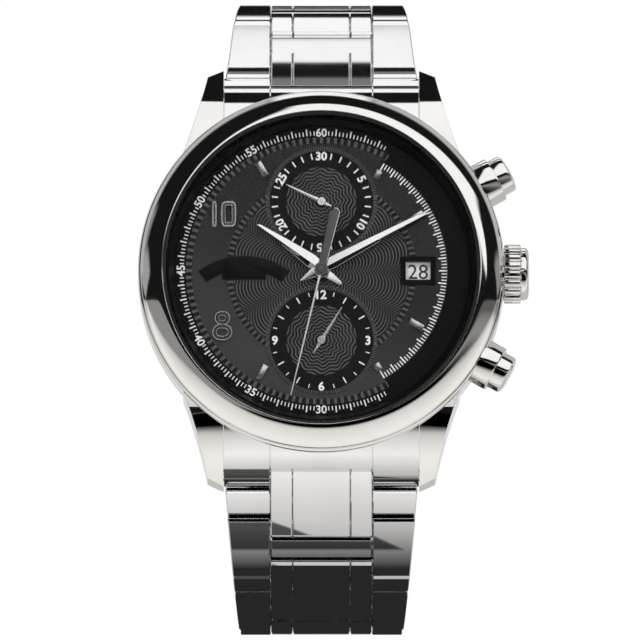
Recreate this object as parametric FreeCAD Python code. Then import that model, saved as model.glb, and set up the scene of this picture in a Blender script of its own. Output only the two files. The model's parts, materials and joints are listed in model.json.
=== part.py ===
import FreeCAD, Part
import math
import os

# Wristwatch with a round case, a two-register chronograph dial and a closed link bracelet.
# Everything is laid out lying flat: X to the crown, Y to twelve o'clock, Z out of the dial,
# with the origin at the centre of the case back's outer face. The finished pieces are then
# stood up, so that +Z runs to twelve o'clock and the dial faces -Y. All sizes are millimetres.

V = FreeCAD.Vector
X_AXIS = V(1, 0, 0)
Y_AXIS = V(0, 1, 0)
Z_AXIS = V(0, 0, 1)
closed_distance = 1e-6        # points nearer than this are one point
beyond = 1.0                  # how far a cutting shape reaches past what it cuts
far_beyond = 40.0             # the same for cuts right through

# ---- clearances --------------------------------------------------------------------------
running_clearance = 0.05      # radial play of a shaft in its hole
sliding_gap = 0.10            # gap between faces that move past each other
seat_gap = 0.02               # assembly play of a fixed piece in its seat

# ---- case --------------------------------------------------------------------------------
case_radius = 20.6            # widest radius of the case band
case_foot_radius = 18.9       # radius of the case band where it meets the case back
case_bore_radius = 17.1
back_flange = 1.2             # part of the case back that shows below the case
band_low_level = 4.6          # the band is at its widest above here
band_belly = 0.35             # how far its lower part bulges
case_top_level = 9.6          # the bezel sits on this face
band_stand_out = 0.3          # how far the band stands out past the bezel
bezel_setback = 0.15          # between the bezel's edge and the band's rounded shoulder
bezel_height = 2.4
bezel_edge_height = 0.7       # upright outer edge of the bezel
bezel_slope = 0.45            # width of the slope round the bezel's inner edge
bezel_slope_depth = 0.25
bezel_bulge = 0.09            # how far the broad slope stands off a straight line
bezel_roll = 0.25             # size of the roll at its outer edge
bezel_roll_bulge = 0.08
crystal_radius = 17.5
crystal_edge = 1.2            # height of the crystal's upright edge
crystal_ledge = 1.0           # width of its flat underside
crystal_stand = 0.05          # how far its edge stands above the bezel
crystal_dome = 0.9            # rise of the crystal's outer dome
crystal_thickness = 1.1       # thickness over the hands
gasket_width = 0.28
gasket_drop = 0.35            # how far the crystal's seal ends below its upper edge
flange_slope_width = 0.9      # width of the sloping ring round the dial
flange_top_width = 0.35
flange_foot = 0.3

# ---- case back ---------------------------------------------------------------------------
back_radius = 18.5
back_lip_height = 0.8
back_window_radius = 13.0
back_glass_thickness = 0.8
back_glass_ledge = 0.8
back_notch_count = 6
back_notch_width = 2.2
back_notch_depth = 0.9
back_notch_height = 0.72
back_gasket_width = 0.6
back_gasket_height = 0.5
back_gasket_lift = 0.1        # height of its groove above the back's flange

# ---- movement ----------------------------------------------------------------------------
movement_radius = 15.0
dial_level = 9.4              # upper face of the dial
dial_thickness = 0.5
plate_thickness = 1.9
plate_gap = 0.6               # room for the date disc between plate and dial
bridge_level = 3.6
bridge_thickness = 1.6
rotor_level = 2.1
rotor_thickness = 0.5
rotor_rim = 1.1               # thickness of the heavy rim and of the hub
rotor_rim_width = 2.6
rotor_radius = 13.4
rotor_hub_radius = 2.6
rotor_web_edge = 0.5          # how far the thin web ends inside the rim's edge
rotor_slot_count = 3
rotor_slot_radius = 1.9
rotor_slot_ring = 7.2
rotor_slot_step = 45.0
rotor_post_radius = 0.8
rotor_post_end = 0.15         # how far the post stands out past the rotor
pillar_radius = 0.8
pillar_ring = 13.0            # distance of the pillars from the centre
pillar_count = 4
pillar_start = 45.0
wheel_thickness = 0.22
wheel_end_gap = 0.12          # between a wheel and the plate or bridge beside it
wheel_rim_share = 0.78        # shares of a wheel's radius
wheel_arm_share = 0.9
wheel_arm_half_share = 0.09
wheel_hub_share = 0.25
pinion_hub_share = 0.5        # share of its pinion's radius
wheel_arm_start = 45.0
staff_radius = 0.28
pivot_depth = 0.45            # how far a staff's ends go into the plate and the bridges
barrel_radius = 5.2
barrel_tooth_depth = 0.3
barrel_place = (-4.6, 3.93)
centre_wheel_radius = 3.3
centre_pinion_radius = 0.78
third_wheel_radius = 2.8
third_pinion_radius = 0.58
third_place = (3.42, -1.98)
fourth_wheel_radius = 2.6
fourth_pinion_radius = 0.48
fourth_place = (5.10, -4.88)
escape_wheel_radius = 1.9
escape_pinion_radius = 0.43
escape_place = (3.55, -7.57)
pallet_place = (0.6, -8.0)
pallet_thickness = 0.2
pallet_lever_length = 2.4
pallet_lever_tail = 0.3
pallet_lever_width = 0.36
pallet_arm_start = 0.1        # how far the arms reach to the balance's side of the staff
pallet_arm_end = 0.6
pallet_arm_span = 3.0
balance_place = (-3.2, -8.6)
balance_radius = 4.3
balance_thickness = 0.4
balance_rim_width = 0.5
balance_arm_width = 0.6
balance_hub_radius = 0.75
balance_end_gap = 0.15        # between the balance and its cock
balance_cock_thickness = 0.45
balance_cock_width = 2.0
balance_pocket_margin = 0.5   # room round the balance's rim
balance_pocket_skin = 0.4     # what is left of the bridge over the balance

# ---- dial --------------------------------------------------------------------------------
dial_radius = 17.5
subdial_offset = 7.9
subdial_radius = 5.8
subdial_depth = 0.15
date_window_x = 10.85
date_window_width = 2.75
date_window_height = 2.0
date_frame_width = 0.35
date_frame_height = 0.25
date_ring_inner = 9.2
date_ring_outer = 12.7
date_ring_thickness = 0.3
index_width = 0.75
index_height = 0.3
index_chamfer = 0.12
index_length = 1.9
short_index_length = 1.0
index_outer_radius = 14.35
near_index_outer_radius = 13.25
numeral_height = 3.2
numeral_stroke = 0.5
numeral_radius = 12.8
numeral_angle = 30.0          # of both numerals above and below the nine o'clock line
one_shift = 1.0               # from the middle of the ten to its first digit
one_flag_width = 0.5
one_flag_height = 0.6
zero_shift = 0.55
zero_width = 1.9
eight_low_radius = 0.896
eight_high_radius = 0.768
eight_stroke = 0.4
plaque_length = 10.2
plaque_height = 2.7
plaque_centre = 8.7
plaque_thickness = 0.15
plaque_arch_radius = 22.44

# ---- hands -------------------------------------------------------------------------------
hand_thickness = 0.2
hand_waist = 0.4              # a hand is at its widest this far out
hand_tail_share = 0.32        # half its tail's width over its greatest width
post_radius = 0.35            # the seconds post, inside the other two tubes
tube_wall = 0.25
cannon_radius = 1.0           # foot of the minute tube, in the main plate
cannon_depth = 0.7            # how deep that foot goes into the plate
cannon_stand_out = 0.1
cannon_play = 0.15
cannon_floor_gap = 0.1
hour_wheel_radius = 3.0
hour_wheel_drop = 0.25        # how far the hour wheel reaches below the dial
hour_wheel_gap = 0.07
hour_eye_width = 0.25
minute_eye_width = 0.4
counter_post_radius = 0.22
counter_eye_radius = 0.5
counter_post_lift = 0.6       # how far above the plate's underside the posts start
counter_hole_skin = 0.4       # what is left of the plate below them
hour_hand_level = 9.9
minute_hand_level = 10.3
seconds_hand_level = 10.7
counter_hand_level = 9.5
hour_hand_length = 8.9
hour_hand_tail = 1.8
hour_hand_width = 1.5
minute_hand_length = 13.9
minute_hand_tail = 2.3
minute_hand_width = 1.25
seconds_hand_length = 14.8
seconds_hand_width = 0.34
seconds_hand_back = 2.0       # how far its thin blade reaches past the centre
seconds_tip_share = 0.5
seconds_hub_radius = 0.9
seconds_hub_rise = 0.1
seconds_tail_length = 7.0
seconds_tail_width = 1.1
seconds_tail_start = 1.4
minute_counter_length = 4.4
minute_counter_tail = 1.2
hour_counter_length = 4.5
hour_counter_tail = 1.7
counter_hand_width = 0.6
hour_hand_angle = 305.6       # clockwise from twelve
minute_hand_angle = 61.9
seconds_hand_angle = 193.4
minute_counter_angle = 296.0
hour_counter_angle = 31.5

# ---- crown and pushers -------------------------------------------------------------------
control_level = 7.2           # height of the stem and of the pushers above the case back
crown_radius = 3.35
crown_length = 2.85
crown_cap_length = 1.0
crown_cap_step = 0.35         # how much smaller the cap is
crown_cap_chamfer = 0.35
control_recess = 0.25         # how deep the seats of the crown and the pushers lie in the band
crown_flute_count = 18
crown_flute_radius = 0.42
crown_flute_lift = 0.1        # how far outside the crown's edge the flutes' axes lie
crown_rim = 0.35              # plain rim next to the case
crown_cavity_radius = 1.7
crown_cavity_depth = 1.7
crown_socket_depth = 0.6      # how far the stem goes into the crown past its cavity
crown_tube_radius = 1.3
crown_tube_back = 0.4         # how far the tube ends short of the cavity's floor
crown_gasket_lift = 0.5
crown_gasket_length = 0.6
stem_radius = 0.6
stem_inner_end = 8.0
stem_groove_x = 10.5
stem_groove_width = 0.6
stem_groove_radius = 0.4
stem_hole_room = 0.4          # depth of the stem's hole past its end
lever_thickness = 0.5
lever_width = 2.4
lever_foot_gap = 0.2          # between the lever and the bridges
lever_rise = 0.8              # how far it reaches past the stem's axis
lever_slot_skin = 0.2
crown_travel = 1.2
pusher_angle = 29.0           # above and below the crown
pusher_cap_radius = 2.15
pusher_sleeve_radius = 2.6
pusher_sleeve_length = 2.1
pusher_sleeve_depth = 0.9     # how far the resting cap reaches into its sleeve
pusher_stand_out = 1.65       # how far the cap stands out past the sleeve
pusher_neck_wall = 0.35
pusher_stem_radius = 0.7
pusher_travel = 0.8
pusher_dome = 0.3
pusher_dome_width = 0.45
pusher_stem_start = 1.0       # how far outside the movement the stem ends

# ---- lugs and bracelet -------------------------------------------------------------------
lug_gap = 22.0                # the standard width between the lugs
lug_tip_y = 23.75
lug_tip_width = 1.8
lug_root_width = 4.55
lug_root_y = 13.5
lug_bend_y = 15.4             # the lug's top starts to bend down here
lug_waist = 0.2               # how far the outer edge curves in between root and tip
lug_tip_corner = 0.85         # how far the tip's outer corner is cut back
lug_top_level = 8.9
lug_nose_level = 4.6          # where the sloping face meets the upright tip
lug_fall = 38.0               # slope of the flat face at the lug's end
lug_foot_level = 0.6
lug_foot_corner = 0.5
bay_clearance = 0.8           # between the case back and the band where it is cut back for an end link
end_link_foot = 0.9
end_link_step = 0.25          # how much lower than the lugs the end link lies
end_link_nose = 0.9           # height of its nose above the spring bar
end_link_reach = 6.0          # how far it would reach in, before it is cut round to the band
column_groove_depth = 0.3
spring_bar_y = 21.9
spring_bar_level = 1.6
spring_bar_radius = 0.7
spring_bar_reach = 1.2        # how far the bar's ends go into the lugs
link_pitch = 5.9              # pin to pin
link_thickness = 2.7
link_gap = 0.10
link_chamfer = 0.28
link_crown = 0.15             # rise of a long link's outer face in its middle
column_line = 0.06            # gap between neighbouring columns
centre_width = 11.4           # all of the middle columns
middle_width = 6.5            # the middle one alone
link_pin_radius = 0.55
tie_pin_radius = 0.45
pin_inset = 0.35              # how far the pins end inside the bracelet's edges
tie_pin_inset = 0.7
tie_hole_inset = 0.6
bracelet_half_start = 10.9
bracelet_half_end = 8.45
taper_power = 1.6
rows_per_side = 9
upper_angles = (52, 47.5, 64, 69.5, 86, 102, 119, 137, 156)
lower_angles = (36.5, 50.5, 66, 70.5, 91, 108, 125, 141, 157)

# ---- folding clasp -----------------------------------------------------------------------
cover_thickness = 0.9
cover_wall = 0.85
cover_plate_gap = 0.4         # between the links' outer faces and the cover's plate
cover_ear = 1.6               # how far the side walls reach past the upper bracelet pin
cover_plate_start = 0.7       # the plate starts this far past that pin, clear of the turning row
cover_end_back = 2.1          # how far the cover stops short of the lower bracelet pin
fold_pin_radius = 0.35
fold_knuckle_radius = 0.7
cover_fold_back = 4.0         # distance of the cover's fold from the lower bracelet pin
cover_fold_height = 0.9
middle_fold_start = 3.3       # distance of the blades' own fold from the upper bracelet pin
middle_fold_height = 0.25
blade_thickness = 0.7
blade_width = 16.2
fold_middle_width = 8.0
closing_clearance = 0.15      # play of the pin that the lower bracelet half hangs on
clasp_side_play = 0.25        # between the cover's walls and the bracelet
cover_crown = 0.35            # rise of the cover in its middle
cover_end_slope = 0.7
cover_edge = 0.2              # upright edge above the links at the cover's ends
ear_back = 1.0                # where the cover's ears leave its walls
ear_half_height = 0.9
ear_corner = 0.5
cover_pin_inset = 0.1
blade_pin_inset = 0.2
blade_rise = 0.35             # how much the middle blade's end slopes
blade_start = 0.9             # blades start this far past their fold
tongue_reach = 1.2
tongue_rise = 0.1
blade_top_rise = 0.15
blade_end_high = 0.65
blade_end_low = 0.05
blade_end_back = 0.2
inner_blade_drop = 0.3
blade_window_side = 2.6
blade_window_end = 6.0
inner_window_end = 5.0
clasp_arm_radius = 1.0
fold_room = 2.0               # room before the fold for the cover's end

# ---- values worked out from the sizes above ----------------------------------------------
dial_under = dial_level - dial_thickness
plate_top = dial_under - plate_gap
plate_under = plate_top - plate_thickness
bridge_top = bridge_level + bridge_thickness
bezel_inner_radius = crystal_radius + gasket_width + seat_gap
bezel_outer_radius = case_radius - band_stand_out
bezel_top_level = case_top_level + bezel_height
crystal_edge_top = bezel_top_level + crystal_stand
crystal_under = crystal_edge_top - crystal_edge
low_wheel_level = bridge_top + wheel_end_gap
high_wheel_level = plate_under - wheel_end_gap - wheel_thickness
staff_low = bridge_top - pivot_depth
staff_high = plate_under + pivot_depth
staff_hole = staff_radius + running_clearance
end_link_level = lug_top_level - end_link_step
link_half = link_thickness / 2
bay_radius = back_radius + bay_clearance
control_seat = case_radius - control_recess
pusher_sleeve_end = control_seat + pusher_sleeve_length
pusher_tip = pusher_sleeve_end + pusher_stand_out
lug_x = lug_gap / 2
stem_hole = stem_radius + running_clearance


# ---- helpers -----------------------------------------------------------------------------
def cylinder(radius, low, high, x=0.0, y=0.0):
    """A round bar along Z between two heights."""
    return Part.makeCylinder(radius, high - low, V(x, y, low), Z_AXIS)


def ring(inner, outer, low, high, x=0.0, y=0.0):
    """A flat ring along Z between two heights."""
    return cylinder(outer, low, high, x, y).cut(cylinder(inner, low - beyond, high + beyond, x, y))


def bar_x(radius, x_low, x_high, y, z):
    """A round bar along X."""
    return Part.makeCylinder(radius, x_high - x_low, V(x_low, y, z), X_AXIS)


def box(x0, x1, y0, y1, z0, z1):
    return Part.makeBox(x1 - x0, y1 - y0, z1 - z0, V(x0, y0, z0))


def closed_face(path, place):
    """A face inside a closed path of points. An entry of two points is an arc by way of the first."""
    edges = []
    here = place(*path[0])
    for step in path[1:] + path[:1]:
        if isinstance(step[0], tuple):
            by_way, end = [place(*point) for point in step]
            edges.append(Part.Arc(here, by_way, end).toShape())
        else:
            end = place(*step)
            if end.distanceToPoint(here) > closed_distance:
                edges.append(Part.LineSegment(here, end).toShape())
        here = end
    return Part.Face(Part.Wire(edges))


def turned(path):
    """A solid of revolution about Z from a path of (radius, height) points."""
    return closed_face(path, lambda r, z: V(r, 0, z)).revolve(V(0, 0, 0), Z_AXIS, 360)


def prism_x(path, x0, x1):
    """A (y, z) outline carried along X."""
    return closed_face(path, lambda y, z: V(x0, y, z)).extrude(V(x1 - x0, 0, 0))


def prism_z(path, z0, z1):
    """An (x, y) outline carried along Z."""
    return closed_face(path, lambda x, y: V(x, y, z0)).extrude(V(0, 0, z1 - z0))


def arc(cy, cz, radius, start, end):
    """An arc about a centre, between two angles in degrees: its middle and its end, for a path."""
    middle, last = math.radians((start + end) / 2), math.radians(end)
    return ((cy + radius * math.cos(middle), cz + radius * math.sin(middle)),
            (cy + radius * math.cos(last), cz + radius * math.sin(last)))


def fuse_all(shapes):
    whole = shapes[0]
    for shape in shapes[1:]:
        whole = whole.fuse(shape)
    return whole.removeSplitter()


def arc_between(start, end, bulge):
    """An arc between two points that stands off their chord by the bulge, for a path."""
    run = end[0] - start[0]
    rise = end[1] - start[1]
    chord = math.hypot(run, rise)
    return ((start[0] + run / 2 + bulge * rise / chord, start[1] + rise / 2 - bulge * run / chord), end)


def turned_to(shape, clock_degrees):
    """Turns a shape that points to twelve so that it points to a clock angle."""
    shape.rotate(V(0, 0, 0), Z_AXIS, -clock_degrees)
    return shape


def radial(shape, degrees):
    """Turns a shape made along +X about the dial's centre."""
    shape.rotate(V(0, 0, 0), Z_AXIS, degrees)
    return shape


# ---- case --------------------------------------------------------------------------------
def lug(side, end):
    """One lug: a side outline that bends down in one arc, cut to its tapering plan."""
    outline = [(lug_root_y, lug_foot_level), (lug_root_y, lug_top_level)]
    outline += shoulder(lug_top_level, (lug_tip_y, lug_nose_level), lug_fall)
    outline += [
        (lug_tip_y, lug_foot_level + lug_foot_corner),
        arc(lug_tip_y - lug_foot_corner, lug_foot_level + lug_foot_corner, lug_foot_corner, 0, -90),
    ]
    root_x = lug_x + lug_root_width
    tip_x = lug_x + lug_tip_width
    corner_y = lug_tip_y - lug_tip_corner
    plan = [
        (lug_x, lug_root_y),
        (lug_x, lug_tip_y),
        (tip_x, corner_y),
        (((root_x + tip_x) / 2 - lug_waist, (lug_root_y + corner_y) / 2), (root_x, lug_root_y)),
    ]
    body = prism_x(outline, lug_x, root_x)
    body = body.common(prism_z(plan, 0, case_top_level))
    if side < 0:
        body = body.mirror(V(0, 0, 0), X_AXIS)
    if end < 0:
        body = body.mirror(V(0, 0, 0), Y_AXIS)
    return body


def shoulder(level, nose, fall):
    """The line over a lug: level to its bend, then an arc and a straight slope to its nose, for a path."""
    slope = math.radians(fall)
    reach = nose[0] - lug_bend_y
    drop = level - nose[1]
    bend = (reach * math.tan(slope) - drop) / (1 / math.cos(slope) - 1)
    return [(lug_bend_y, level), arc(lug_bend_y, level - bend, bend, 90, 90 - fall), nose]


def full_bend(level, nose):
    """The line over an end link: level to the bend, then one arc all the way to its nose, for a path."""
    reach = nose[0] - lug_bend_y
    drop = level - nose[1]
    bend = (reach ** 2 + drop ** 2) / (2 * drop)
    fall = math.degrees(math.asin(reach / bend))
    return [(lug_bend_y, level), arc(lug_bend_y, level - bend, bend, 90, 90 - fall)]


def case_middle():
    """The case band with its four lugs, bored for the movement, the crown and the pushers."""
    edge = band_stand_out + bezel_setback
    band = turned([
        (case_bore_radius, back_flange),
        (case_foot_radius, back_flange),
        arc_between((case_foot_radius, back_flange), (case_radius, band_low_level), band_belly),
        (case_radius, case_top_level - edge),
        arc(case_radius - edge, case_top_level - edge, edge, 0, 90),
        (dial_radius + seat_gap, case_top_level),
        (dial_radius + seat_gap, dial_under),
        (case_bore_radius, dial_under),
    ])
    lugs = [lug(side, end) for side in (1, -1) for end in (1, -1)]
    body = fuse_all([band.cut(lug_bay(1)).cut(lug_bay(-1))] + lugs)
    body = body.cut(cylinder(case_bore_radius, -beyond, dial_under))
    body = body.cut(cylinder(back_radius + sliding_gap, -beyond, back_flange))
    body = body.cut(cylinder(dial_radius + seat_gap, dial_under, case_top_level + beyond))
    body = body.cut(crown_pocket())
    tube_start = case_bore_radius - beyond
    body = body.cut(bar_x(crown_tube_radius, tube_start, control_seat + beyond, 0, control_level))
    for sign in (1, -1):
        body = body.cut(radial(pusher_hole(), sign * pusher_angle))
        for end in (1, -1):
            x0, x1 = sorted((sign * (lug_x - beyond), sign * (lug_x + spring_bar_reach + sliding_gap)))
            hole = bar_x(spring_bar_radius + seat_gap, x0, x1, end * spring_bar_y, spring_bar_level)
            body = body.cut(hole)
    return body


def lug_bay(end):
    """The recess between two lugs, below the band's rim, that takes the end link."""
    y0, y1 = sorted((end * lug_root_y / 2, end * (lug_tip_y + beyond)))
    room = box(-lug_x, lug_x, y0, y1, -beyond, end_link_level + sliding_gap)
    return room.cut(cylinder(bay_radius, -2 * beyond, case_top_level + beyond))


def crown_pocket():
    """The flat seat that the crown stands on."""
    wide = crown_radius + 2 * sliding_gap
    return bar_x(wide, control_seat, control_seat + crown_length + beyond, 0, control_level)


def pusher_hole():
    outer = bar_x(pusher_sleeve_radius, control_seat, case_radius + pusher_sleeve_length, 0, control_level)
    inner = bar_x(pusher_neck(), case_bore_radius - beyond, case_radius, 0, control_level)
    return outer.fuse(inner)


def pusher_neck():
    """Outer radius of the sleeve's thin inner tube."""
    return pusher_stem_radius + running_clearance + pusher_neck_wall


def bezel():
    """An upright edge, a tight roll, a nearly conical slope up to the crest and a chamfer inside."""
    inner = bezel_inner_radius
    crest = (inner + bezel_slope, bezel_top_level)
    edge = case_top_level + bezel_edge_height
    roll_low = (bezel_outer_radius, edge - bezel_roll)
    roll_high = (bezel_outer_radius - bezel_roll, edge + bezel_roll)
    return turned([(inner, case_top_level), (bezel_outer_radius, case_top_level), roll_low,
                   arc_between(roll_low, roll_high, bezel_roll_bulge),
                   arc_between(roll_high, crest, bezel_bulge),
                   (inner, bezel_top_level - bezel_slope_depth)])


def dome(radius, edge, rise):
    """A shallow dome from its edge to its crown, as an arc for a path."""
    sphere = (radius ** 2 + rise ** 2) / (2 * rise)
    half = math.asin(radius / sphere) / 2
    return ((sphere * math.sin(half), edge + rise - sphere * (1 - math.cos(half))), (0, edge + rise))


def crystal():
    """A domed glass with a hollow under it for the hands."""
    inner = crystal_radius - crystal_ledge
    centre = crystal_edge_top + crystal_dome - crystal_thickness
    by_way = dome(inner, crystal_under, centre - crystal_under)[0]
    return turned([(inner, crystal_under), (crystal_radius, crystal_under),
                   (crystal_radius, crystal_edge_top), dome(crystal_radius, crystal_edge_top, crystal_dome),
                   (0, centre), (by_way, (inner, crystal_under))])


def case_gaskets():
    """The seal round the crystal and the seal in the case back's lip."""
    round_crystal = ring(crystal_radius, crystal_radius + gasket_width, crystal_under,
                         crystal_edge_top - gasket_drop)
    low = back_flange + back_gasket_lift
    in_back = ring(case_bore_radius - back_gasket_width, case_bore_radius - seat_gap, low,
                   low + back_gasket_height)
    return Part.makeCompound([round_crystal, in_back])


def flange_ring():
    outer = crystal_radius - running_clearance
    inner = outer - flange_slope_width
    return turned([(inner, dial_level), (outer, dial_level), (outer, crystal_under),
                   (outer - flange_top_width, crystal_under), (inner, dial_level + flange_foot)])


def case_back():
    body = cylinder(back_radius, 0, back_flange)
    body = body.fuse(cylinder(case_bore_radius - seat_gap, back_flange, back_flange + back_lip_height))
    glass_seat = back_window_radius + back_glass_ledge + seat_gap
    body = body.cut(cylinder(glass_seat, -beyond, back_glass_thickness))
    body = body.cut(cylinder(back_window_radius, 0, back_flange + back_lip_height + beyond))
    body = body.cut(back_gasket_groove())
    for i in range(back_notch_count):
        notch = box(back_radius - back_notch_depth, back_radius + beyond, -back_notch_width / 2,
                    back_notch_width / 2, -beyond, back_notch_height)
        body = body.cut(radial(notch, 360 / back_notch_count * (i + 0.5)))
    return body.removeSplitter()


def back_gasket_groove():
    low = back_flange + back_gasket_lift
    high = low + back_gasket_height
    return ring(case_bore_radius - back_gasket_width, case_bore_radius + beyond, low, high)


def case_back_glass():
    return cylinder(back_window_radius + back_glass_ledge, 0, back_glass_thickness - seat_gap)


# ---- dial --------------------------------------------------------------------------------
def dial():
    body = cylinder(dial_radius, dial_under, dial_level)
    for sign in (1, -1):
        body = body.cut(cylinder(subdial_radius, dial_level - subdial_depth, dial_level + beyond,
                                 0, sign * subdial_offset))
        body = body.cut(cylinder(post_radius, 0, dial_level, 0, sign * subdial_offset))
    body = body.cut(cylinder(hour_tube_outer() + 2 * running_clearance, 0, dial_level + beyond))
    return body.cut(date_window(0, dial_under - beyond, dial_level + beyond))


def date_window(margin, low, high):
    half_w = date_window_width / 2 + margin
    half_h = date_window_height / 2 + margin
    return box(date_window_x - half_w, date_window_x + half_w, -half_h, half_h, low, high)


def date_frame():
    outer = date_window(date_frame_width, dial_level, dial_level + date_frame_height)
    return outer.cut(date_window(0, dial_level - beyond, dial_level + beyond))


def index_bar(clock_degrees, outer_radius, length):
    half = index_width / 2
    bar = box(-half, half, outer_radius - length, outer_radius, dial_level,
              dial_level + index_height)
    bar = bar.makeChamfer(index_chamfer, [e for e in bar.Edges if is_top_edge(e)])
    return turned_to(bar, clock_degrees)


def is_top_edge(edge):
    return all(abs(v.Z - dial_level - index_height) < closed_distance for v in edge.Vertexes)


def stadium(width, height, z0, z1, x, y):
    """An upright shape with round ends."""
    r = width / 2
    straight = height / 2 - r
    shape = box(x - r, x + r, y - straight, y + straight, z0, z1)
    shape = shape.fuse(cylinder(r, z0, z1, x, y + straight))
    return shape.fuse(cylinder(r, z0, z1, x, y - straight)).removeSplitter()


def digit_zero(x, y, width):
    top = dial_level + index_height
    outer = stadium(width, numeral_height, dial_level, top, x, y)
    hollow = stadium(width - 2 * numeral_stroke, numeral_height - 2 * numeral_stroke,
                     dial_level - beyond, top + beyond, x, y)
    return outer.cut(hollow)


def digit_one(x, y):
    half = numeral_stroke / 2
    top = dial_level + index_height
    head = y + numeral_height / 2
    bar = box(x - half, x + half, head - numeral_height, head, dial_level, top)
    flag = prism_z([(x - half, head), (x - half - one_flag_width, head - one_flag_height),
                    (x - half, head - one_flag_height)], dial_level, top)
    return bar.fuse(flag).removeSplitter()


def digit_eight(x, y):
    """Two rings, one over the other."""
    top = dial_level + index_height
    low_loop = (eight_low_radius, y - numeral_height / 2 + eight_low_radius)
    high_loop = (eight_high_radius, y + numeral_height / 2 - eight_high_radius)
    loops = [low_loop, high_loop]
    body = fuse_all([cylinder(radius, dial_level, top, x, place) for radius, place in loops])
    for radius, place in loops:
        body = body.cut(cylinder(radius - eight_stroke, dial_level - beyond, top + beyond, x, place))
    return body.removeSplitter()


def applied_indices():
    solids = [
        index_bar(330, index_outer_radius, index_length),
        index_bar(210, index_outer_radius, index_length),
        index_bar(60, near_index_outer_radius, index_length),
        index_bar(120, near_index_outer_radius, index_length),
        index_bar(30, near_index_outer_radius, short_index_length),
        index_bar(150, near_index_outer_radius, short_index_length),
    ]
    x = -numeral_radius * math.cos(math.radians(numeral_angle))
    y = numeral_radius * math.sin(math.radians(numeral_angle))
    solids.append(digit_one(x - one_shift, y))
    solids.append(digit_zero(x + zero_shift, y, zero_width))
    solids.append(digit_eight(x, -y))
    return Part.makeCompound(solids)


def dial_plaque():
    half = plaque_height / 2
    plate = box(-plaque_centre - plaque_length / 2, -plaque_centre + plaque_length / 2, -half, half,
                dial_level, dial_level + plaque_thickness)
    arch = cylinder(plaque_arch_radius, dial_level, dial_level + plaque_thickness,
                    -plaque_centre, half - plaque_arch_radius)
    return plate.common(arch)


# ---- movement ----------------------------------------------------------------------------
def main_plate():
    body = cylinder(movement_radius, plate_under, plate_top)
    body = body.cut(cylinder(post_radius + running_clearance, 0, plate_top + beyond))
    body = body.cut(cylinder(cannon_radius + cannon_play, plate_top - cannon_depth - cannon_floor_gap,
                             plate_top + beyond))
    for sign in (1, -1):
        body = body.cut(cylinder(counter_post_radius + running_clearance, plate_under + counter_hole_skin,
                                 plate_top + beyond, 0, sign * subdial_offset))
    hole_start = stem_inner_end - stem_hole_room
    body = body.cut(bar_x(stem_hole, hole_start, movement_radius + beyond, 0, control_level))
    x0 = stem_groove_x - lever_thickness / 2 - sliding_gap
    x1 = stem_groove_x + lever_thickness / 2 + crown_travel + sliding_gap
    half = lever_width / 2 + sliding_gap
    body = body.cut(box(x0, x1, -half, half, plate_under - beyond, plate_top - lever_slot_skin))
    for x, y in staff_places() + [balance_place]:
        body = body.cut(cylinder(staff_hole, plate_under - beyond, staff_high + sliding_gap / 2, x, y))
    return body.removeSplitter()


def staff_places():
    """Centres of the staffs that run between the bridges and the plate."""
    return [barrel_place, (0, 0), third_place, fourth_place, escape_place, pallet_place]


def movement_ring():
    inner = movement_radius + seat_gap
    outer = case_bore_radius - seat_gap
    body = ring(inner, outer, bridge_level, dial_under)
    body = body.cut(bar_x(stem_hole, inner - beyond, outer + beyond, 0, control_level))
    for sign in (1, -1):
        bore = bar_x(pusher_stem_radius + running_clearance, inner - beyond, outer + beyond, 0, control_level)
        body = body.cut(radial(bore, sign * pusher_angle))
    return body


def movement_bridges():
    """The bridges' plate, with a pocket for the balance, the rotor's post and four pillars."""
    body = cylinder(movement_radius, bridge_level, bridge_top)
    pocket_top = bridge_top - balance_pocket_skin
    x, y = balance_place
    body = body.cut(cylinder(balance_radius + balance_pocket_margin, 0, pocket_top, x, y))
    body = body.fuse(balance_cock())
    for place in staff_places():
        body = body.cut(cylinder(staff_hole, staff_low - sliding_gap / 2, bridge_top + beyond, *place))
    body = body.cut(cylinder(staff_hole, bridge_level + pivot_depth / 2, bridge_top + beyond, x, y))
    post = cylinder(rotor_post_radius, rotor_level - rotor_post_end, bridge_level)
    turns = [math.radians(pillar_start + 360 / pillar_count * i) for i in range(pillar_count)]
    pillars = [cylinder(pillar_radius, bridge_top, plate_under, pillar_ring * math.cos(turn),
                        pillar_ring * math.sin(turn)) for turn in turns]
    return fuse_all([body, post] + pillars)


def balance_cock():
    """The bar that carries the balance's outer pivot, across its pocket."""
    low = bridge_level
    high = bridge_level + balance_cock_thickness
    x, y = balance_place
    half = balance_cock_width / 2
    reach = balance_radius + 2 * balance_pocket_margin
    cock = box(x - half, x + half, y - reach, y + reach, low, high)
    return cock.common(cylinder(movement_radius, low, high))


def wheel(place, radius, level, pinion_radius):
    """A four-armed train wheel with its pinion and its staff, which runs in bridge and plate."""
    x, y = place
    top = high_wheel_level + wheel_thickness
    pinion = cylinder(pinion_radius, low_wheel_level, top, x, y)
    staff = cylinder(staff_radius, staff_low, staff_high, x, y)
    high = level + wheel_thickness
    rim = ring(radius * wheel_rim_share, radius, level, high, x, y)
    hub = cylinder(radius * wheel_hub_share + pinion_radius * pinion_hub_share, level, high, x, y)
    reach = radius * wheel_arm_share
    half = radius * wheel_arm_half_share
    arms = []
    for i in range(2):
        arm = box(-reach, reach, -half, half, level, high)
        arm.rotate(V(0, 0, 0), Z_AXIS, wheel_arm_start + 90 * i)
        arm.translate(V(x, y, 0))
        arms.append(arm)
    return fuse_all([rim, hub, pinion, staff] + arms)


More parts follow.
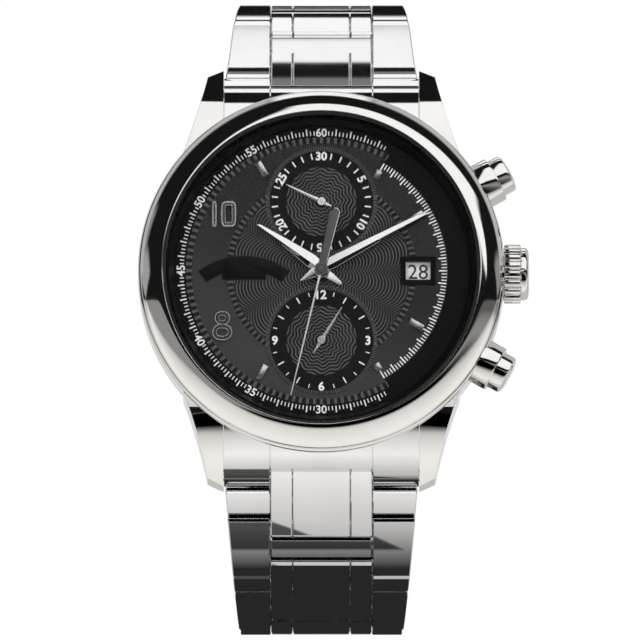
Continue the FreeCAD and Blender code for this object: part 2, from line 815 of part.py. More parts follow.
def mainspring_barrel():
    x, y = barrel_place
    low = low_wheel_level
    toothed = cylinder(barrel_radius, low, low + wheel_thickness, x, y)
    drum = cylinder(barrel_radius - barrel_tooth_depth, low, high_wheel_level - wheel_end_gap, x, y)
    return fuse_all([toothed, drum, cylinder(staff_radius, staff_low, staff_high, x, y)])


def train_wheels():
    """Centre, third, fourth and escape wheels: each wheel drives the next one's pinion."""
    low = low_wheel_level
    high = high_wheel_level
    return {
        "centre_wheel": wheel((0, 0), centre_wheel_radius, high, centre_pinion_radius),
        "third_wheel": wheel(third_place, third_wheel_radius, low, third_pinion_radius),
        "fourth_wheel": wheel(fourth_place, fourth_wheel_radius, high, fourth_pinion_radius),
        "escape_wheel": wheel(escape_place, escape_wheel_radius, low, escape_pinion_radius),
    }


def pallet_fork():
    """A lever from its staff to the balance, with two arms round the escape wheel's edge."""
    x, y = pallet_place
    level = low_wheel_level + wheel_thickness + sliding_gap
    top = level + pallet_thickness
    half = pallet_lever_width / 2
    span = pallet_arm_span / 2
    lever = box(x - pallet_lever_length, x + pallet_lever_tail, y - half, y + half, level, top)
    arms = box(x - pallet_arm_start, x + pallet_arm_end, y - span, y + span, level, top)
    return fuse_all([lever, arms, cylinder(staff_radius, staff_low, staff_high, x, y)])


def balance_wheel():
    x, y = balance_place
    low = bridge_level + balance_cock_thickness + balance_end_gap
    high = low + balance_thickness
    rim = ring(balance_radius - balance_rim_width, balance_radius, low, high, x, y)
    reach = balance_radius - balance_rim_width / 2
    half = balance_arm_width / 2
    arm = box(x - reach, x + reach, y - half, y + half, low, high)
    hub = cylinder(balance_hub_radius, low, high + sliding_gap, x, y)
    staff = cylinder(staff_radius, bridge_level + pivot_depth / 2 + sliding_gap / 2, staff_high, x, y)
    return fuse_all([rim, arm, hub, staff])


def rotor():
    """The winding rotor: a thin half disc with a heavy rim, turning on the bridges' post."""
    top = rotor_level + rotor_rim
    half_plane = box(-rotor_radius, rotor_radius, -rotor_radius, 0, 0, top)
    web = cylinder(rotor_radius - rotor_web_edge, rotor_level, rotor_level + rotor_thickness)
    web = web.common(half_plane)
    for i in range(rotor_slot_count):
        turn = math.radians(-rotor_slot_step * (i + 1))
        slot = cylinder(rotor_slot_radius, 0, top, rotor_slot_ring * math.cos(turn),
                        rotor_slot_ring * math.sin(turn))
        web = web.cut(slot)
    rim = ring(rotor_radius - rotor_rim_width, rotor_radius, rotor_level, top).common(half_plane)
    hub = cylinder(rotor_hub_radius, rotor_level, top)
    body = fuse_all([web, rim, hub])
    return body.cut(cylinder(rotor_post_radius + running_clearance, 0, top + beyond))


def date_disc():
    low = plate_top + sliding_gap
    return ring(date_ring_inner, date_ring_outer, low, low + date_ring_thickness)


# ---- hands -------------------------------------------------------------------------------
def minute_tube_inner():
    return post_radius + running_clearance


def minute_tube_outer():
    return minute_tube_inner() + tube_wall


def hour_tube_inner():
    return minute_tube_outer() + running_clearance


def hour_tube_outer():
    return hour_tube_inner() + tube_wall


def tapered_hand(length, tail, width, level):
    """A pointed hand that is widest at its centre."""
    end = width * hand_tail_share
    plan = [(0, length), (width / 2, hand_waist), (end, -tail), (-end, -tail), (-width / 2, hand_waist)]
    return prism_z(plan, level, level + hand_thickness)


def hour_hand():
    top = hour_hand_level + hand_thickness
    foot = dial_under - hour_wheel_drop
    blade = tapered_hand(hour_hand_length, hour_hand_tail, hour_hand_width, hour_hand_level)
    blade = turned_to(blade, hour_hand_angle)
    eye = cylinder(hour_tube_outer() + hour_eye_width, hour_hand_level, top)
    tube = cylinder(hour_tube_outer(), foot, top)
    hour_wheel = cylinder(hour_wheel_radius, foot, dial_under - hour_wheel_gap)
    body = fuse_all([blade, eye, tube, hour_wheel])
    return body.cut(cylinder(hour_tube_inner(), 0, top + beyond))


def minute_hand():
    top = minute_hand_level + hand_thickness
    foot = plate_top - cannon_depth
    blade = tapered_hand(minute_hand_length, minute_hand_tail, minute_hand_width, minute_hand_level)
    blade = turned_to(blade, minute_hand_angle)
    eye = cylinder(minute_tube_outer() + minute_eye_width, minute_hand_level, top)
    tube = cylinder(minute_tube_outer(), foot, top)
    cannon = cylinder(cannon_radius, foot, plate_top + cannon_stand_out)
    body = fuse_all([blade, eye, tube, cannon])
    return body.cut(cylinder(minute_tube_inner(), 0, top + beyond))


def seconds_hand():
    top = seconds_hand_level + hand_thickness
    half = seconds_hand_width / 2
    tip = half * seconds_tip_share
    blade = prism_z([(half, -seconds_hand_back), (tip, seconds_hand_length), (-tip, seconds_hand_length),
                     (-half, -seconds_hand_back)], seconds_hand_level, top)
    tail = box(-seconds_tail_width / 2, seconds_tail_width / 2, -seconds_tail_length, -seconds_tail_start,
               seconds_hand_level, top)
    hand = turned_to(blade.fuse(tail), seconds_hand_angle)
    hub = cylinder(seconds_hub_radius, seconds_hand_level, top + seconds_hub_rise)
    post = cylinder(post_radius, staff_high + sliding_gap, top)
    return fuse_all([hand, hub, post])


def counter_hand(length, tail, angle, sign):
    top = counter_hand_level + hand_thickness
    blade = tapered_hand(length, tail, counter_hand_width, counter_hand_level)
    blade = turned_to(blade, angle)
    eye = cylinder(counter_eye_radius, counter_hand_level, top)
    post = cylinder(counter_post_radius, plate_under + counter_post_lift, top)
    body = fuse_all([blade, eye, post])
    body.translate(V(0, sign * subdial_offset, 0))
    return body


# ---- crown and pushers -------------------------------------------------------------------
def crown_tube():
    end = control_seat + crown_cavity_depth - crown_tube_back
    tube = bar_x(crown_tube_radius - seat_gap, case_bore_radius, end, 0, control_level)
    return tube.cut(bar_x(stem_hole, 0, far_beyond, 0, control_level))


def crown():
    base = control_seat + sliding_gap
    end = base + crown_length
    body = bar_x(crown_radius, base, end - crown_cap_length, 0, control_level)
    for i in range(crown_flute_count):
        angle = 2 * math.pi * i / crown_flute_count
        y = (crown_radius + crown_flute_lift) * math.cos(angle)
        z = (crown_radius + crown_flute_lift) * math.sin(angle)
        body = body.cut(bar_x(crown_flute_radius, base + crown_rim, end, y, control_level + z))
    cap = bar_x(crown_radius - crown_cap_step, end - crown_cap_length, end, 0, control_level)
    cap = cap.makeChamfer(crown_cap_chamfer, [e for e in cap.Edges if at_x(e, end)])
    body = body.fuse(cap)
    cavity_end = base + crown_cavity_depth
    body = body.cut(bar_x(crown_cavity_radius, base - beyond, cavity_end, 0, control_level))
    socket_end = cavity_end + crown_socket_depth
    body = body.cut(bar_x(stem_radius, cavity_end - beyond, socket_end, 0, control_level))
    return body.removeSplitter()


def at_x(edge, x):
    return all(abs(v.X - x) < closed_distance for v in edge.Vertexes)


def crown_gasket():
    """A seal in the crown's cavity, round the crown tube."""
    low = control_seat + sliding_gap + crown_gasket_lift
    seal = bar_x(crown_cavity_radius - seat_gap, low, low + crown_gasket_length, 0, control_level)
    return seal.cut(bar_x(crown_tube_radius + running_clearance, 0, far_beyond, 0, control_level))


def winding_stem():
    cavity_end = control_seat + sliding_gap + crown_cavity_depth
    stem = bar_x(stem_radius, stem_inner_end, cavity_end + crown_socket_depth - seat_gap, 0, control_level)
    groove = bar_x(stem_radius + beyond, stem_groove_x - stem_groove_width / 2,
                   stem_groove_x + stem_groove_width / 2, 0, control_level)
    groove = groove.cut(bar_x(stem_groove_radius, 0, far_beyond, 0, control_level))
    return stem.cut(groove)


def setting_lever():
    half = lever_width / 2
    x0 = stem_groove_x - lever_thickness / 2
    x1 = stem_groove_x + lever_thickness / 2
    body = box(x0, x1, -half, half, bridge_top + lever_foot_gap, control_level + lever_rise)
    slot = stem_groove_radius + running_clearance
    open_end = control_level + lever_rise + beyond
    return body.cut(box(x0 - beyond, x1 + beyond, -slot, slot, control_level - slot, open_end))


def pusher_tube():
    sleeve = bar_x(pusher_sleeve_radius - seat_gap, control_seat, pusher_sleeve_end, 0, control_level)
    bore_start = pusher_rest() - pusher_travel - sliding_gap
    bore = pusher_cap_radius + running_clearance
    sleeve = sleeve.cut(bar_x(bore, bore_start, far_beyond, 0, control_level))
    neck = bar_x(pusher_neck() - seat_gap, case_bore_radius, control_seat, 0, control_level)
    body = sleeve.fuse(neck)
    return body.cut(bar_x(pusher_stem_radius + running_clearance, 0, far_beyond, 0, control_level))


def pusher_rest():
    """Where the pusher cap's inner face stands when nothing presses it."""
    return pusher_sleeve_end - pusher_sleeve_depth


def pusher():
    cap = bar_x(pusher_cap_radius, pusher_rest(), pusher_tip - pusher_dome, 0, control_level)
    tip = Part.makeCone(pusher_cap_radius, pusher_cap_radius - pusher_dome_width, pusher_dome,
                        V(pusher_tip - pusher_dome, 0, control_level), X_AXIS)
    stem = bar_x(pusher_stem_radius, movement_radius + pusher_stem_start, pusher_rest(), 0, control_level)
    return fuse_all([cap, tip, stem])


# ---- bracelet ----------------------------------------------------------------------------
def top_face(start, end):
    """A link's outer face in its side outline: two chamfers and a slightly convex face between."""
    rise = link_crown * (end - start) / (link_pitch + link_thickness)
    face = ((start + end) / 2, link_half + rise)
    return [(start, link_half - link_chamfer), (start + link_chamfer, link_half),
            (face, (end - link_chamfer, link_half)), (end, link_half - link_chamfer)]


def long_outline():
    """Side outline of a link that reaches round both of its pins."""
    start = -link_half
    end = link_pitch + link_half
    return top_face(start, end) + [
        (end, 0), arc(link_pitch, 0, link_half, 0, -90),
        (0, -link_half), arc(0, 0, link_half, -90, -180),
    ]


def short_outline():
    """Side outline of a short link that sits between two pins."""
    start = link_half + link_gap
    end = link_pitch - start
    return top_face(start, end) + [
        (end, link_chamfer - link_half), (end - link_chamfer, -link_half),
        (start + link_chamfer, -link_half), (start, link_chamfer - link_half),
    ]


def half_width(run):
    """Half the bracelet's width at a distance from the spring bar."""
    whole = link_pitch * rows_per_side
    share = max(0.0, 1 - run / whole)
    return bracelet_half_end + (bracelet_half_start - bracelet_half_end) * share ** taper_power


def outer_pair(outline, run):
    """The two outer pieces of a row, cut to the bracelet's taper."""
    inner = centre_width / 2 + column_line
    pieces = []
    long = 2 * link_pitch
    near = half_width(run - link_half)
    far = half_width(run + link_pitch + link_half)
    slope = (far - near) / (link_pitch + link_thickness)
    start = near - slope * (long - link_half)
    finish = far + slope * long
    end = link_pitch + link_half + long
    plan = [(inner, -long), (start, -long), (finish, end), (inner, end)]
    for sign in (1, -1):
        piece = prism_x(outline, inner, bracelet_half_start + beyond)
        piece = piece.common(prism_z(plan, -link_thickness, link_thickness))
        if sign < 0:
            piece = piece.mirror(V(0, 0, 0), X_AXIS)
        pieces.append(piece)
    return pieces


def row_solids(number):
    """One row of links in its own frame: Y along the bracelet, Z outwards, the near pin at zero."""
    centre_long = number % 2 == 0
    run = number * link_pitch
    long_shape = long_outline()
    short_shape = short_outline()
    half = centre_width / 2
    middle = middle_width / 2
    if centre_long:
        pieces = [prism_x(long_shape, -middle, middle)]
        pieces.append(prism_x(long_shape, middle + column_line, half))
        pieces.append(prism_x(long_shape, -half, -middle - column_line))
        pieces += outer_pair(short_shape, run)
    else:
        pieces = [prism_x(short_shape, -half, half)]
        pieces += outer_pair(long_shape, run)
    bore = link_pin_radius + running_clearance
    near_bore = spring_bar_radius + running_clearance if number == 0 else bore
    edge = half_width(run + link_pitch)
    reach = edge - pin_inset
    hole = edge - pin_inset - tie_hole_inset
    tie = edge - pin_inset - tie_pin_inset
    solids = []
    for piece in pieces:
        piece = piece.cut(bar_x(near_bore, -far_beyond, far_beyond, 0, 0))
        piece = piece.cut(bar_x(bore, -far_beyond, far_beyond, link_pitch, 0))
        piece = piece.cut(bar_x(tie_pin_radius + seat_gap, -hole, hole, link_pitch / 2, 0))
        solids.append(piece)
    solids.append(bar_x(link_pin_radius, -reach, reach, link_pitch, 0))
    solids.append(bar_x(tie_pin_radius, -tie, tie, link_pitch / 2, 0))
    return solids


def chain_pins(angles, side):
    """The pins of one bracelet half, from the spring bar to the clasp, as (y, z) points."""
    y = side * spring_bar_y
    z = spring_bar_level
    pins = [(y, z)]
    for angle in angles:
        turn = math.radians(angle)
        y += side * link_pitch * math.cos(turn)
        z -= link_pitch * math.sin(turn)
        pins.append((y, z))
    return pins


def placed_row(number, angle, pin, side):
    """A row turned to its angle and set on its near pin."""
    row = Part.makeCompound(row_solids(number))
    row.rotate(V(0, 0, 0), X_AXIS, -angle)
    if side < 0:
        row.rotate(V(0, 0, 0), Z_AXIS, 180)
    row.translate(V(0, pin[0], pin[1]))
    return row


def end_link(side):
    """The fitted piece between two lugs: two knuckles on the spring bar, joined beside the band."""
    half = lug_x - running_clearance
    y = spring_bar_y
    back = bay_radius - end_link_reach
    outline = [(back, end_link_foot), (back, end_link_level)]
    outline += full_bend(end_link_level, (y + link_half, spring_bar_level + end_link_nose))
    outline += [(y + link_half, spring_bar_level), arc(y, spring_bar_level, link_half, 0, -90)]
    body = prism_x(outline, -half, half)
    clear = math.hypot(link_half, link_half - link_chamfer) + link_gap
    middle = centre_width / 2 + column_line
    below = spring_bar_level - 2 * link_thickness
    body = body.cut(bar_x(clear, -middle, middle, y, spring_bar_level))
    body = body.cut(box(-middle, middle, y, y + link_pitch, below, case_top_level))
    body = body.cut(box(-middle, middle, y - clear, y + link_pitch, below, spring_bar_level))
    body = body.cut(cylinder(bay_radius + sliding_gap, below, case_top_level))
    body = body.cut(bar_x(spring_bar_radius + seat_gap, -lug_gap, lug_gap, y, spring_bar_level))
    for sign in (1, -1):
        x0, x1 = sorted((sign * (middle - column_line), sign * (middle + column_line)))
        slab = prism_x(outline, x0, x1)
        sunk = slab.copy()
        sunk.translate(V(0, -column_groove_depth, -column_groove_depth))
        body = body.cut(slab.cut(sunk))
    if side < 0:
        body = body.mirror(V(0, 0, 0), Y_AXIS)
    return body.removeSplitter()


def spring_bars():
    reach = lug_gap / 2 + spring_bar_reach
    return Part.makeCompound([bar_x(spring_bar_radius, -reach, reach, side * spring_bar_y, spring_bar_level)
                              for side in (1, -1)])


# ---- folding clasp -----------------------------------------------------------------------
def clasp_frame():
    """Where the clasp starts, its length between the two bracelet pins, and its turn about X."""
    start = chain_pins(upper_angles, 1)[-1]
    end = chain_pins(lower_angles, -1)[-1]
    length = math.hypot(end[0] - start[0], end[1] - start[1])
    turn = math.degrees(math.atan2(end[1] - start[1], end[0] - start[0]))
    return start, length, turn


def placed_clasp(shape):
    start, length, turn = clasp_frame()
    shape.rotate(V(0, 0, 0), X_AXIS, turn)
    shape.translate(V(0, start[0], start[1]))
    return shape


def clasp_inner_half():
    return bracelet_half_end + clasp_side_play


def cover_fold(length):
    return length - cover_fold_back, cover_fold_height


def clasp_cover():
    """The outer cover: a plate with two side walls, pinned to the upper bracelet half."""
    length = clasp_frame()[1]
    low = link_half + cover_plate_gap
    inner = clasp_inner_half()
    outer = inner + cover_wall
    y0 = cover_plate_start
    y1 = length - cover_end_back
    top = low + cover_thickness
    outline = [(y0, -link_half), (y0, low + cover_edge), (y0 + cover_end_slope, top),
               (length / 2, top + cover_crown), (y1 - cover_end_slope, top), (y1, low + cover_edge),
               (y1, -link_half)]
    body = prism_x(outline, -outer, outer)
    ear = prism_x([(y0 + ear_back, -link_half), (y0 + ear_back, top), (y0, low),
                   (-cover_ear, ear_half_height), (-cover_ear, -ear_half_height),
                   (-cover_ear + ear_corner, -link_half)], -outer, outer)
    body = body.fuse(ear)
    body = body.cut(box(-inner, inner, -cover_ear - beyond, y1 + beyond, -link_thickness, low))
    fold_y, fold_z = cover_fold(length)
    through = outer + beyond
    body = body.cut(bar_x(link_pin_radius + running_clearance, -through, through, 0, 0))
    pin_end = outer - cover_pin_inset
    pin = bar_x(fold_pin_radius, -pin_end, pin_end, fold_y, fold_z)
    body = body.cut(bar_x(fold_pin_radius, -through, through, fold_y, fold_z))
    return placed_clasp(Part.makeCompound([body, pin]))


def blade_window(y0, y1):
    """The long opening in a blade."""
    half = blade_width / 2 - blade_window_side
    return box(-half, half, y0, y1, -2 * link_thickness, 2 * link_thickness)


def clasp_middle_blade():
    """The blade that folds against the cover."""
    length = clasp_frame()[1]
    half = blade_width / 2
    y1, z1 = cover_fold(length)
    y0, z0 = middle_fold_start, middle_fold_height
    high = z0 + fold_knuckle_radius
    low = high - blade_thickness
    side = [(y0 + blade_start, low + blade_rise), (y0 + blade_start, high + blade_top_rise),
            (y1 - blade_end_back, z1 + blade_end_high), (y1 - blade_end_back, z1 - blade_end_low)]
    plate = prism_x(side, -half, half)
    knuckle = bar_x(fold_knuckle_radius, -half, half, y1, z1)
    centre = fold_middle_width / 2
    tongue = prism_x([(y0, z0), (y0, high), (y0 + tongue_reach, high + tongue_rise),
                      (y0 + tongue_reach, low + blade_rise)], -centre, centre)
    eye = bar_x(fold_knuckle_radius, -centre, centre, y0, z0)
    body = fuse_all([plate, knuckle, tongue, eye])
    body = body.cut(blade_window(y0 + blade_window_end, y1 - blade_window_end))
    through = half + beyond
    body = body.cut(bar_x(fold_pin_radius + running_clearance, -through, through, y1, z1))
    body = body.cut(bar_x(fold_pin_radius, -through, through, y0, z0))
    pin_end = half - blade_pin_inset
    pin = bar_x(fold_pin_radius, -pin_end, pin_end, y0, z0)
    return placed_clasp(Part.makeCompound([body, pin]))


def clasp_inner_blade():
    """The blade that lies against the wrist and carries the lower bracelet half."""
    length = clasp_frame()[1]
    half = blade_width / 2
    y0, z0 = middle_fold_start, middle_fold_height
    centre = fold_middle_width / 2 + sliding_gap
    high = z0 - inner_blade_drop
    low = high - blade_thickness
    end_y = length - link_half - 2 * link_gap
    plate = prism_x([(y0 + blade_start, low), (y0 + blade_start, high), (end_y, high), (end_y, low)],
                    -half, half)
    ears = prism_x([(y0, z0 - fold_knuckle_radius), (y0, z0), (y0 + tongue_reach, high),
                    (y0 + tongue_reach, low)], -half, half)
    ears = ears.fuse(bar_x(fold_knuckle_radius, -half, half, y0, z0))
    eye_inner = centre_width / 2 + sliding_gap
    arm_y = end_y - clasp_arm_radius
    arm = prism_x([(arm_y, low), (arm_y, high), (length, clasp_arm_radius), (length, -clasp_arm_radius)],
                  -half, half)
    arm = arm.fuse(bar_x(clasp_arm_radius, -half, half, length, 0))
    body = fuse_all([plate, ears, arm])
    below = -2 * link_thickness
    above = 2 * link_thickness
    fold_end = y0 + fold_knuckle_radius + sliding_gap
    body = body.cut(box(-centre, centre, y0 - fold_room, fold_end, below, above))
    body = body.cut(box(-eye_inner, eye_inner, end_y, length + 2 * clasp_arm_radius, below, above))
    body = body.cut(blade_window(y0 + blade_window_end, end_y - inner_window_end))
    through = half + beyond
    body = body.cut(bar_x(fold_pin_radius + running_clearance, -through, through, y0, z0))
    body = body.cut(bar_x(link_pin_radius + closing_clearance, -through, through, length, 0))
    return placed_clasp(body)


# ---- all pieces --------------------------------------------------------------------------
def all_nodes():
    nodes = {
        "case_middle": case_middle(),
        "bezel": bezel(),
        "crystal": crystal(),
        "case_gaskets": case_gaskets(),
        "flange_ring": flange_ring(),
        "case_back": case_back(),
        "case_back_glass": case_back_glass(),
        "dial": dial(),
        "applied_indices": applied_indices(),
        "dial_plaque": dial_plaque(),
        "date_frame": date_frame(),
        "main_plate": main_plate(),
        "movement_ring": movement_ring(),
        "movement_bridges": movement_bridges(),
        "crown_tube": crown_tube(),
        "pusher_tubes": Part.makeCompound([radial(pusher_tube(), s * pusher_angle) for s in (1, -1)]),
        "spring_bars": spring_bars(),
        "end_link_upper": end_link(1),
        "end_link_lower": end_link(-1),
        "crown": crown(),
        "crown_gasket": crown_gasket(),
        "winding_stem": winding_stem(),
        "setting_lever": setting_lever(),
        "pusher_start": radial(pusher(), pusher_angle),
        "pusher_reset": radial(pusher(), -pusher_angle),
        "hour_hand": hour_hand(),
        "minute_hand": minute_hand(),
        "seconds_hand": seconds_hand(),
        "minute_counter_hand": counter_hand(minute_counter_length, minute_counter_tail,
                                            minute_counter_angle, 1),
        "hour_counter_hand": counter_hand(hour_counter_length, hour_counter_tail,
                                          hour_counter_angle, -1),
        "date_disc": date_disc(),
        "rotor": rotor(),
        "balance_wheel": balance_wheel(),
        "pallet_fork": pallet_fork(),
        "mainspring_barrel": mainspring_barrel(),
        "clasp_cover": clasp_cover(),
        "clasp_middle_blade": clasp_middle_blade(),
        "clasp_inner_blade": clasp_inner_blade(),
    }
    nodes.update(train_wheels())
    for name, angles, side in (("upper", upper_angles, 1), ("lower", lower_angles, -1)):
        pins = chain_pins(angles, side)
        for number in range(rows_per_side):
            row = placed_row(number, angles[number], pins[number], side)
            nodes[f"{name}_row_{number + 1}"] = row
    return nodes


def main():
    os.makedirs("parts", exist_ok=True)
    for name, shape in all_nodes().items():
        shape.rotate(V(0, 0, 0), X_AXIS, 90)
        shape.exportStep(f"parts/{name}.step")
        print(name, len(shape.Solids), round(shape.Volume, 2), shape.isValid())


main()
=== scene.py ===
import json
import math

import bmesh
import bpy
import numpy as np
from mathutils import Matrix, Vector

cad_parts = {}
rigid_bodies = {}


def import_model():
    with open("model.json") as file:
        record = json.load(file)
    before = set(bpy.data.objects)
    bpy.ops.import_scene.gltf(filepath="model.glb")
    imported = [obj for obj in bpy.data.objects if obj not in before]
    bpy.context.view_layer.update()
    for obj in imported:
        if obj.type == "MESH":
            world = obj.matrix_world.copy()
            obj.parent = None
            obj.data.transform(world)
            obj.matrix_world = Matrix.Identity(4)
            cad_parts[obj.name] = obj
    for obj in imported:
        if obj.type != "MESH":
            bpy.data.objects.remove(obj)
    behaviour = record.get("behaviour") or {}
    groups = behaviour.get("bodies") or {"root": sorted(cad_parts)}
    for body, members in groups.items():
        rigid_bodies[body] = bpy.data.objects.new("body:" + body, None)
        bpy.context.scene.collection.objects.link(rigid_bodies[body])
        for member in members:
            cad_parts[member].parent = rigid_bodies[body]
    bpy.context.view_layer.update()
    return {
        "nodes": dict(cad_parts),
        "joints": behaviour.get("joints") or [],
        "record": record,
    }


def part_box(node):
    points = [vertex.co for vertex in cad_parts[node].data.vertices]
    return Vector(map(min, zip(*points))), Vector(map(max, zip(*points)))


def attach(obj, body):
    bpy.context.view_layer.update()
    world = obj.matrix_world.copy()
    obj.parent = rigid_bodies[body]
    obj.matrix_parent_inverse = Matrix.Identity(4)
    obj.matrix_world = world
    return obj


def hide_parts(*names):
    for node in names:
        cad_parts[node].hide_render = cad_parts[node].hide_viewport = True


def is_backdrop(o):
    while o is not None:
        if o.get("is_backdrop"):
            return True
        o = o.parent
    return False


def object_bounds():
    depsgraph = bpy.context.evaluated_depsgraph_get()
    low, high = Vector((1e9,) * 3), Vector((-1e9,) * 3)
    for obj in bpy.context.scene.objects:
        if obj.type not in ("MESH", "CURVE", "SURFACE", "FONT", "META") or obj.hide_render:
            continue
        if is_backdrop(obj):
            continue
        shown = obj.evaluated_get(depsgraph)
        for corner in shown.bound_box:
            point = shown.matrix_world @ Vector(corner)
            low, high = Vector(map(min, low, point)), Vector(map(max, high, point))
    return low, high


# Dress of a steel wristwatch. Shapes are in millimetres on the watch lying flat: X to the crown, Y to twelve
# o'clock, Z out of the dial. stand() turns them into the frame, whose metres finishes, lamps and camera use.

for start_up in list(bpy.data.objects):
    bpy.data.objects.remove(start_up)
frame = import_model()
NODES = frame["nodes"]
HINGES = {joint["name"]: joint for joint in frame["joints"]}

FIGURE_INK, TICK_INK = 0.02, 0.025


# ---- helpers for shapes ----
def stand(points):
    """Flat (x, y, z) in millimetres to the frame in metres: (x, -z, y) / 1000."""
    points = np.asarray(points, float)
    return np.stack([points[..., 0], -points[..., 2], points[..., 1]], -1) / 1000.0


def levels(node):
    """Lowest and highest corner of a CAD node in flat millimetres."""
    low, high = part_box(node)
    return np.array([low.x, low.z, -high.y]) * 1000, np.array([high.x, high.z, -low.y]) * 1000


def quads(rows, cols, wrap_rows=False, wrap_cols=False):
    """Corner numbers of the cells of a grid, with its last row or column joined to the first if it wraps."""
    r = np.arange(rows if wrap_rows else rows - 1)
    c = np.arange(cols if wrap_cols else cols - 1)
    r, c = [a.ravel() for a in np.meshgrid(r, c, indexing="ij")]
    r2, c2 = (r + 1) % rows, (c + 1) % cols
    return np.stack([r * cols + c, r * cols + c2, r2 * cols + c2, r2 * cols + c], -1)


def placed(name, data):
    """A new object in the scene."""
    obj = bpy.data.objects.new(name, data)
    bpy.context.scene.collection.objects.link(obj)
    return obj


def piece(name, shape, body, material, slot, sharp=30, weld=True):
    """A finished piece riding on its body, from (points, faces): flat-millimetre points, doubles merged, faces
    turned outwards, edges sharper than a limit in degrees kept crisp."""
    points, faces = shape
    mesh = bpy.data.meshes.new(name)
    mesh.from_pydata(stand(points).tolist(), [], [list(map(int, f)) for f in faces])
    bm = bmesh.new()
    bm.from_mesh(mesh)
    if weld:
        bmesh.ops.remove_doubles(bm, verts=bm.verts, dist=2e-7)
        bmesh.ops.dissolve_degenerate(bm, edges=bm.edges, dist=1e-8)
    bmesh.ops.recalc_face_normals(bm, faces=bm.faces)
    limit = math.radians(sharp)
    for face in bm.faces:
        face.smooth = True
    for edge in bm.edges:
        edge.smooth = edge.calc_face_angle(3.0) < limit
    bm.to_mesh(mesh)
    bm.free()
    obj = placed(name, mesh)
    obj.data.materials.append(material)
    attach(obj, body)
    return obj


def join(parts):
    """Several (points, faces) into one."""
    points, faces, start = [], [], 0
    for p, f in parts:
        p = np.asarray(p, float).reshape(-1, 3)
        points.append(p)
        faces += [[int(i) + start for i in face] for face in f]
        start += len(p)
    return np.concatenate(points), faces


def around(count):
    """Angles once round, in radians."""
    return np.linspace(0, 2 * math.pi, count, endpoint=False)


def turned(profile, steps, closed=True):
    """A (radius, height) line turned once about Z: point = (r cos a, r sin a, z)."""
    profile = np.asarray(profile, float)
    a = around(steps)
    r, z = profile[:, :1], profile[:, 1:]
    points = np.stack([r * np.cos(a), r * np.sin(a), z + 0 * a], -1)
    return points.reshape(-1, 3), quads(len(profile), steps, closed, True)


def arc(cx, cy, radius, start, end, count):
    """Points on an arc, angles in degrees."""
    a = np.radians(np.linspace(start, end, count))
    return np.stack([cx + radius * np.cos(a), cy + radius * np.sin(a)], -1)


def bow(start, end, bulge, count):
    """Points from start to end that stand off their chord by bulge * (1 - t^2)."""
    start, end = np.asarray(start, float), np.asarray(end, float)
    t = np.linspace(-1, 1, count)[:, None]
    run = end - start
    off = np.array([run[1], -run[0]]) / np.linalg.norm(run)
    return (start + end) / 2 + t * run / 2 + off * bulge * (1 - t ** 2)


def oblong(x0, x1, y0, y1):
    """A rectangle's corners."""
    return np.array([[x0, y0], [x1, y0], [x1, y1], [x0, y1]], float)


def soften(loop, radius):
    """A closed outline with each corner replaced by a quadratic curve that starts radius away from it."""
    loop = np.asarray(loop, float)
    before, after = np.roll(loop, 1, 0), np.roll(loop, -1, 0)
    to_b, to_a = before - loop, after - loop
    len_b = np.linalg.norm(to_b, axis=1, keepdims=True)
    len_a = np.linalg.norm(to_a, axis=1, keepdims=True)
    p = loop + to_b * np.minimum(radius / len_b, 0.48)
    q = loop + to_a * np.minimum(radius / len_a, 0.48)
    t = np.linspace(0, 1, 3)[:, None, None]
    curve = (1 - t) ** 2 * p + 2 * t * (1 - t) * loop + t ** 2 * q
    return curve.transpose(1, 0, 2).reshape(-1, 2)


def inset(loop, distance):
    """A closed outline moved inwards by a distance along the mitre of its corners."""
    loop = np.asarray(loop, float)
    d = np.roll(loop, -1, 0) - loop
    d /= np.maximum(np.linalg.norm(d, axis=1, keepdims=True), 1e-9)
    area = np.sum(loop[:, 0] * np.roll(loop[:, 1], -1) - loop[:, 1] * np.roll(loop[:, 0], -1))
    n = np.stack([-d[:, 1], d[:, 0]], -1) * (1 if area > 0 else -1)
    m = n + np.roll(n, 1, 0)
    m /= np.maximum(np.linalg.norm(m, axis=1, keepdims=True), 1e-9)
    cos = np.maximum(np.sum(m * n, axis=1, keepdims=True), 0.5)
    return loop + m * distance / cos


def capped(rings):
    """A skin over a stack of matching outlines in space, closed at both ends."""
    rings = np.asarray(rings, float)
    rows, count = rings.shape[:2]
    faces = [list(f) for f in quads(rows, count, False, True)]
    last = (rows - 1) * count
    return rings.reshape(-1, 3), faces + [list(range(count))[::-1], list(range(last, last + count))]


def carried(loop, stations, place):
    """An outline carried through stations of (position, inset), closed at both ends; place() sets it in space."""
    return capped([place(inset(loop, cut) if cut else np.asarray(loop, float), at) for at, cut in stations])


def upright(loop, at):
    """Outline in the dial's plane at a height."""
    return np.column_stack([loop, np.full(len(loop), at)])


def hoop(outlines):
    """A closed band through matching outlines, each given with its height."""
    rings = np.stack([upright(loop, at) for loop, at in outlines])
    return rings.reshape(-1, 3), quads(len(rings), rings.shape[1], True, True)


def slab(loop, low, high, edge):
    """A plate over an outline between two heights, with its upper edge rounded off."""
    return carried(loop, [(low, 0), (high - edge, 0), (high - 0.3 * edge, 0.3 * edge), (high, edge)], upright)


def clock(points, degrees, y=0.0):
    """Turns (x, y, ...) points that point to twelve so that they point to a clock angle, then moves them
    along Y."""
    points = np.array(points, float)
    a = math.radians(degrees)
    px, py = points[..., 0].copy(), points[..., 1].copy()
    points[..., 0] = px * math.cos(a) + py * math.sin(a)
    points[..., 1] = -px * math.sin(a) + py * math.cos(a) + y
    return points


def aimed(shape, degrees, y=0.0):
    """A shape that points to twelve, turned to a clock angle and moved along Y."""
    return clock(shape[0], degrees, y), shape[1]


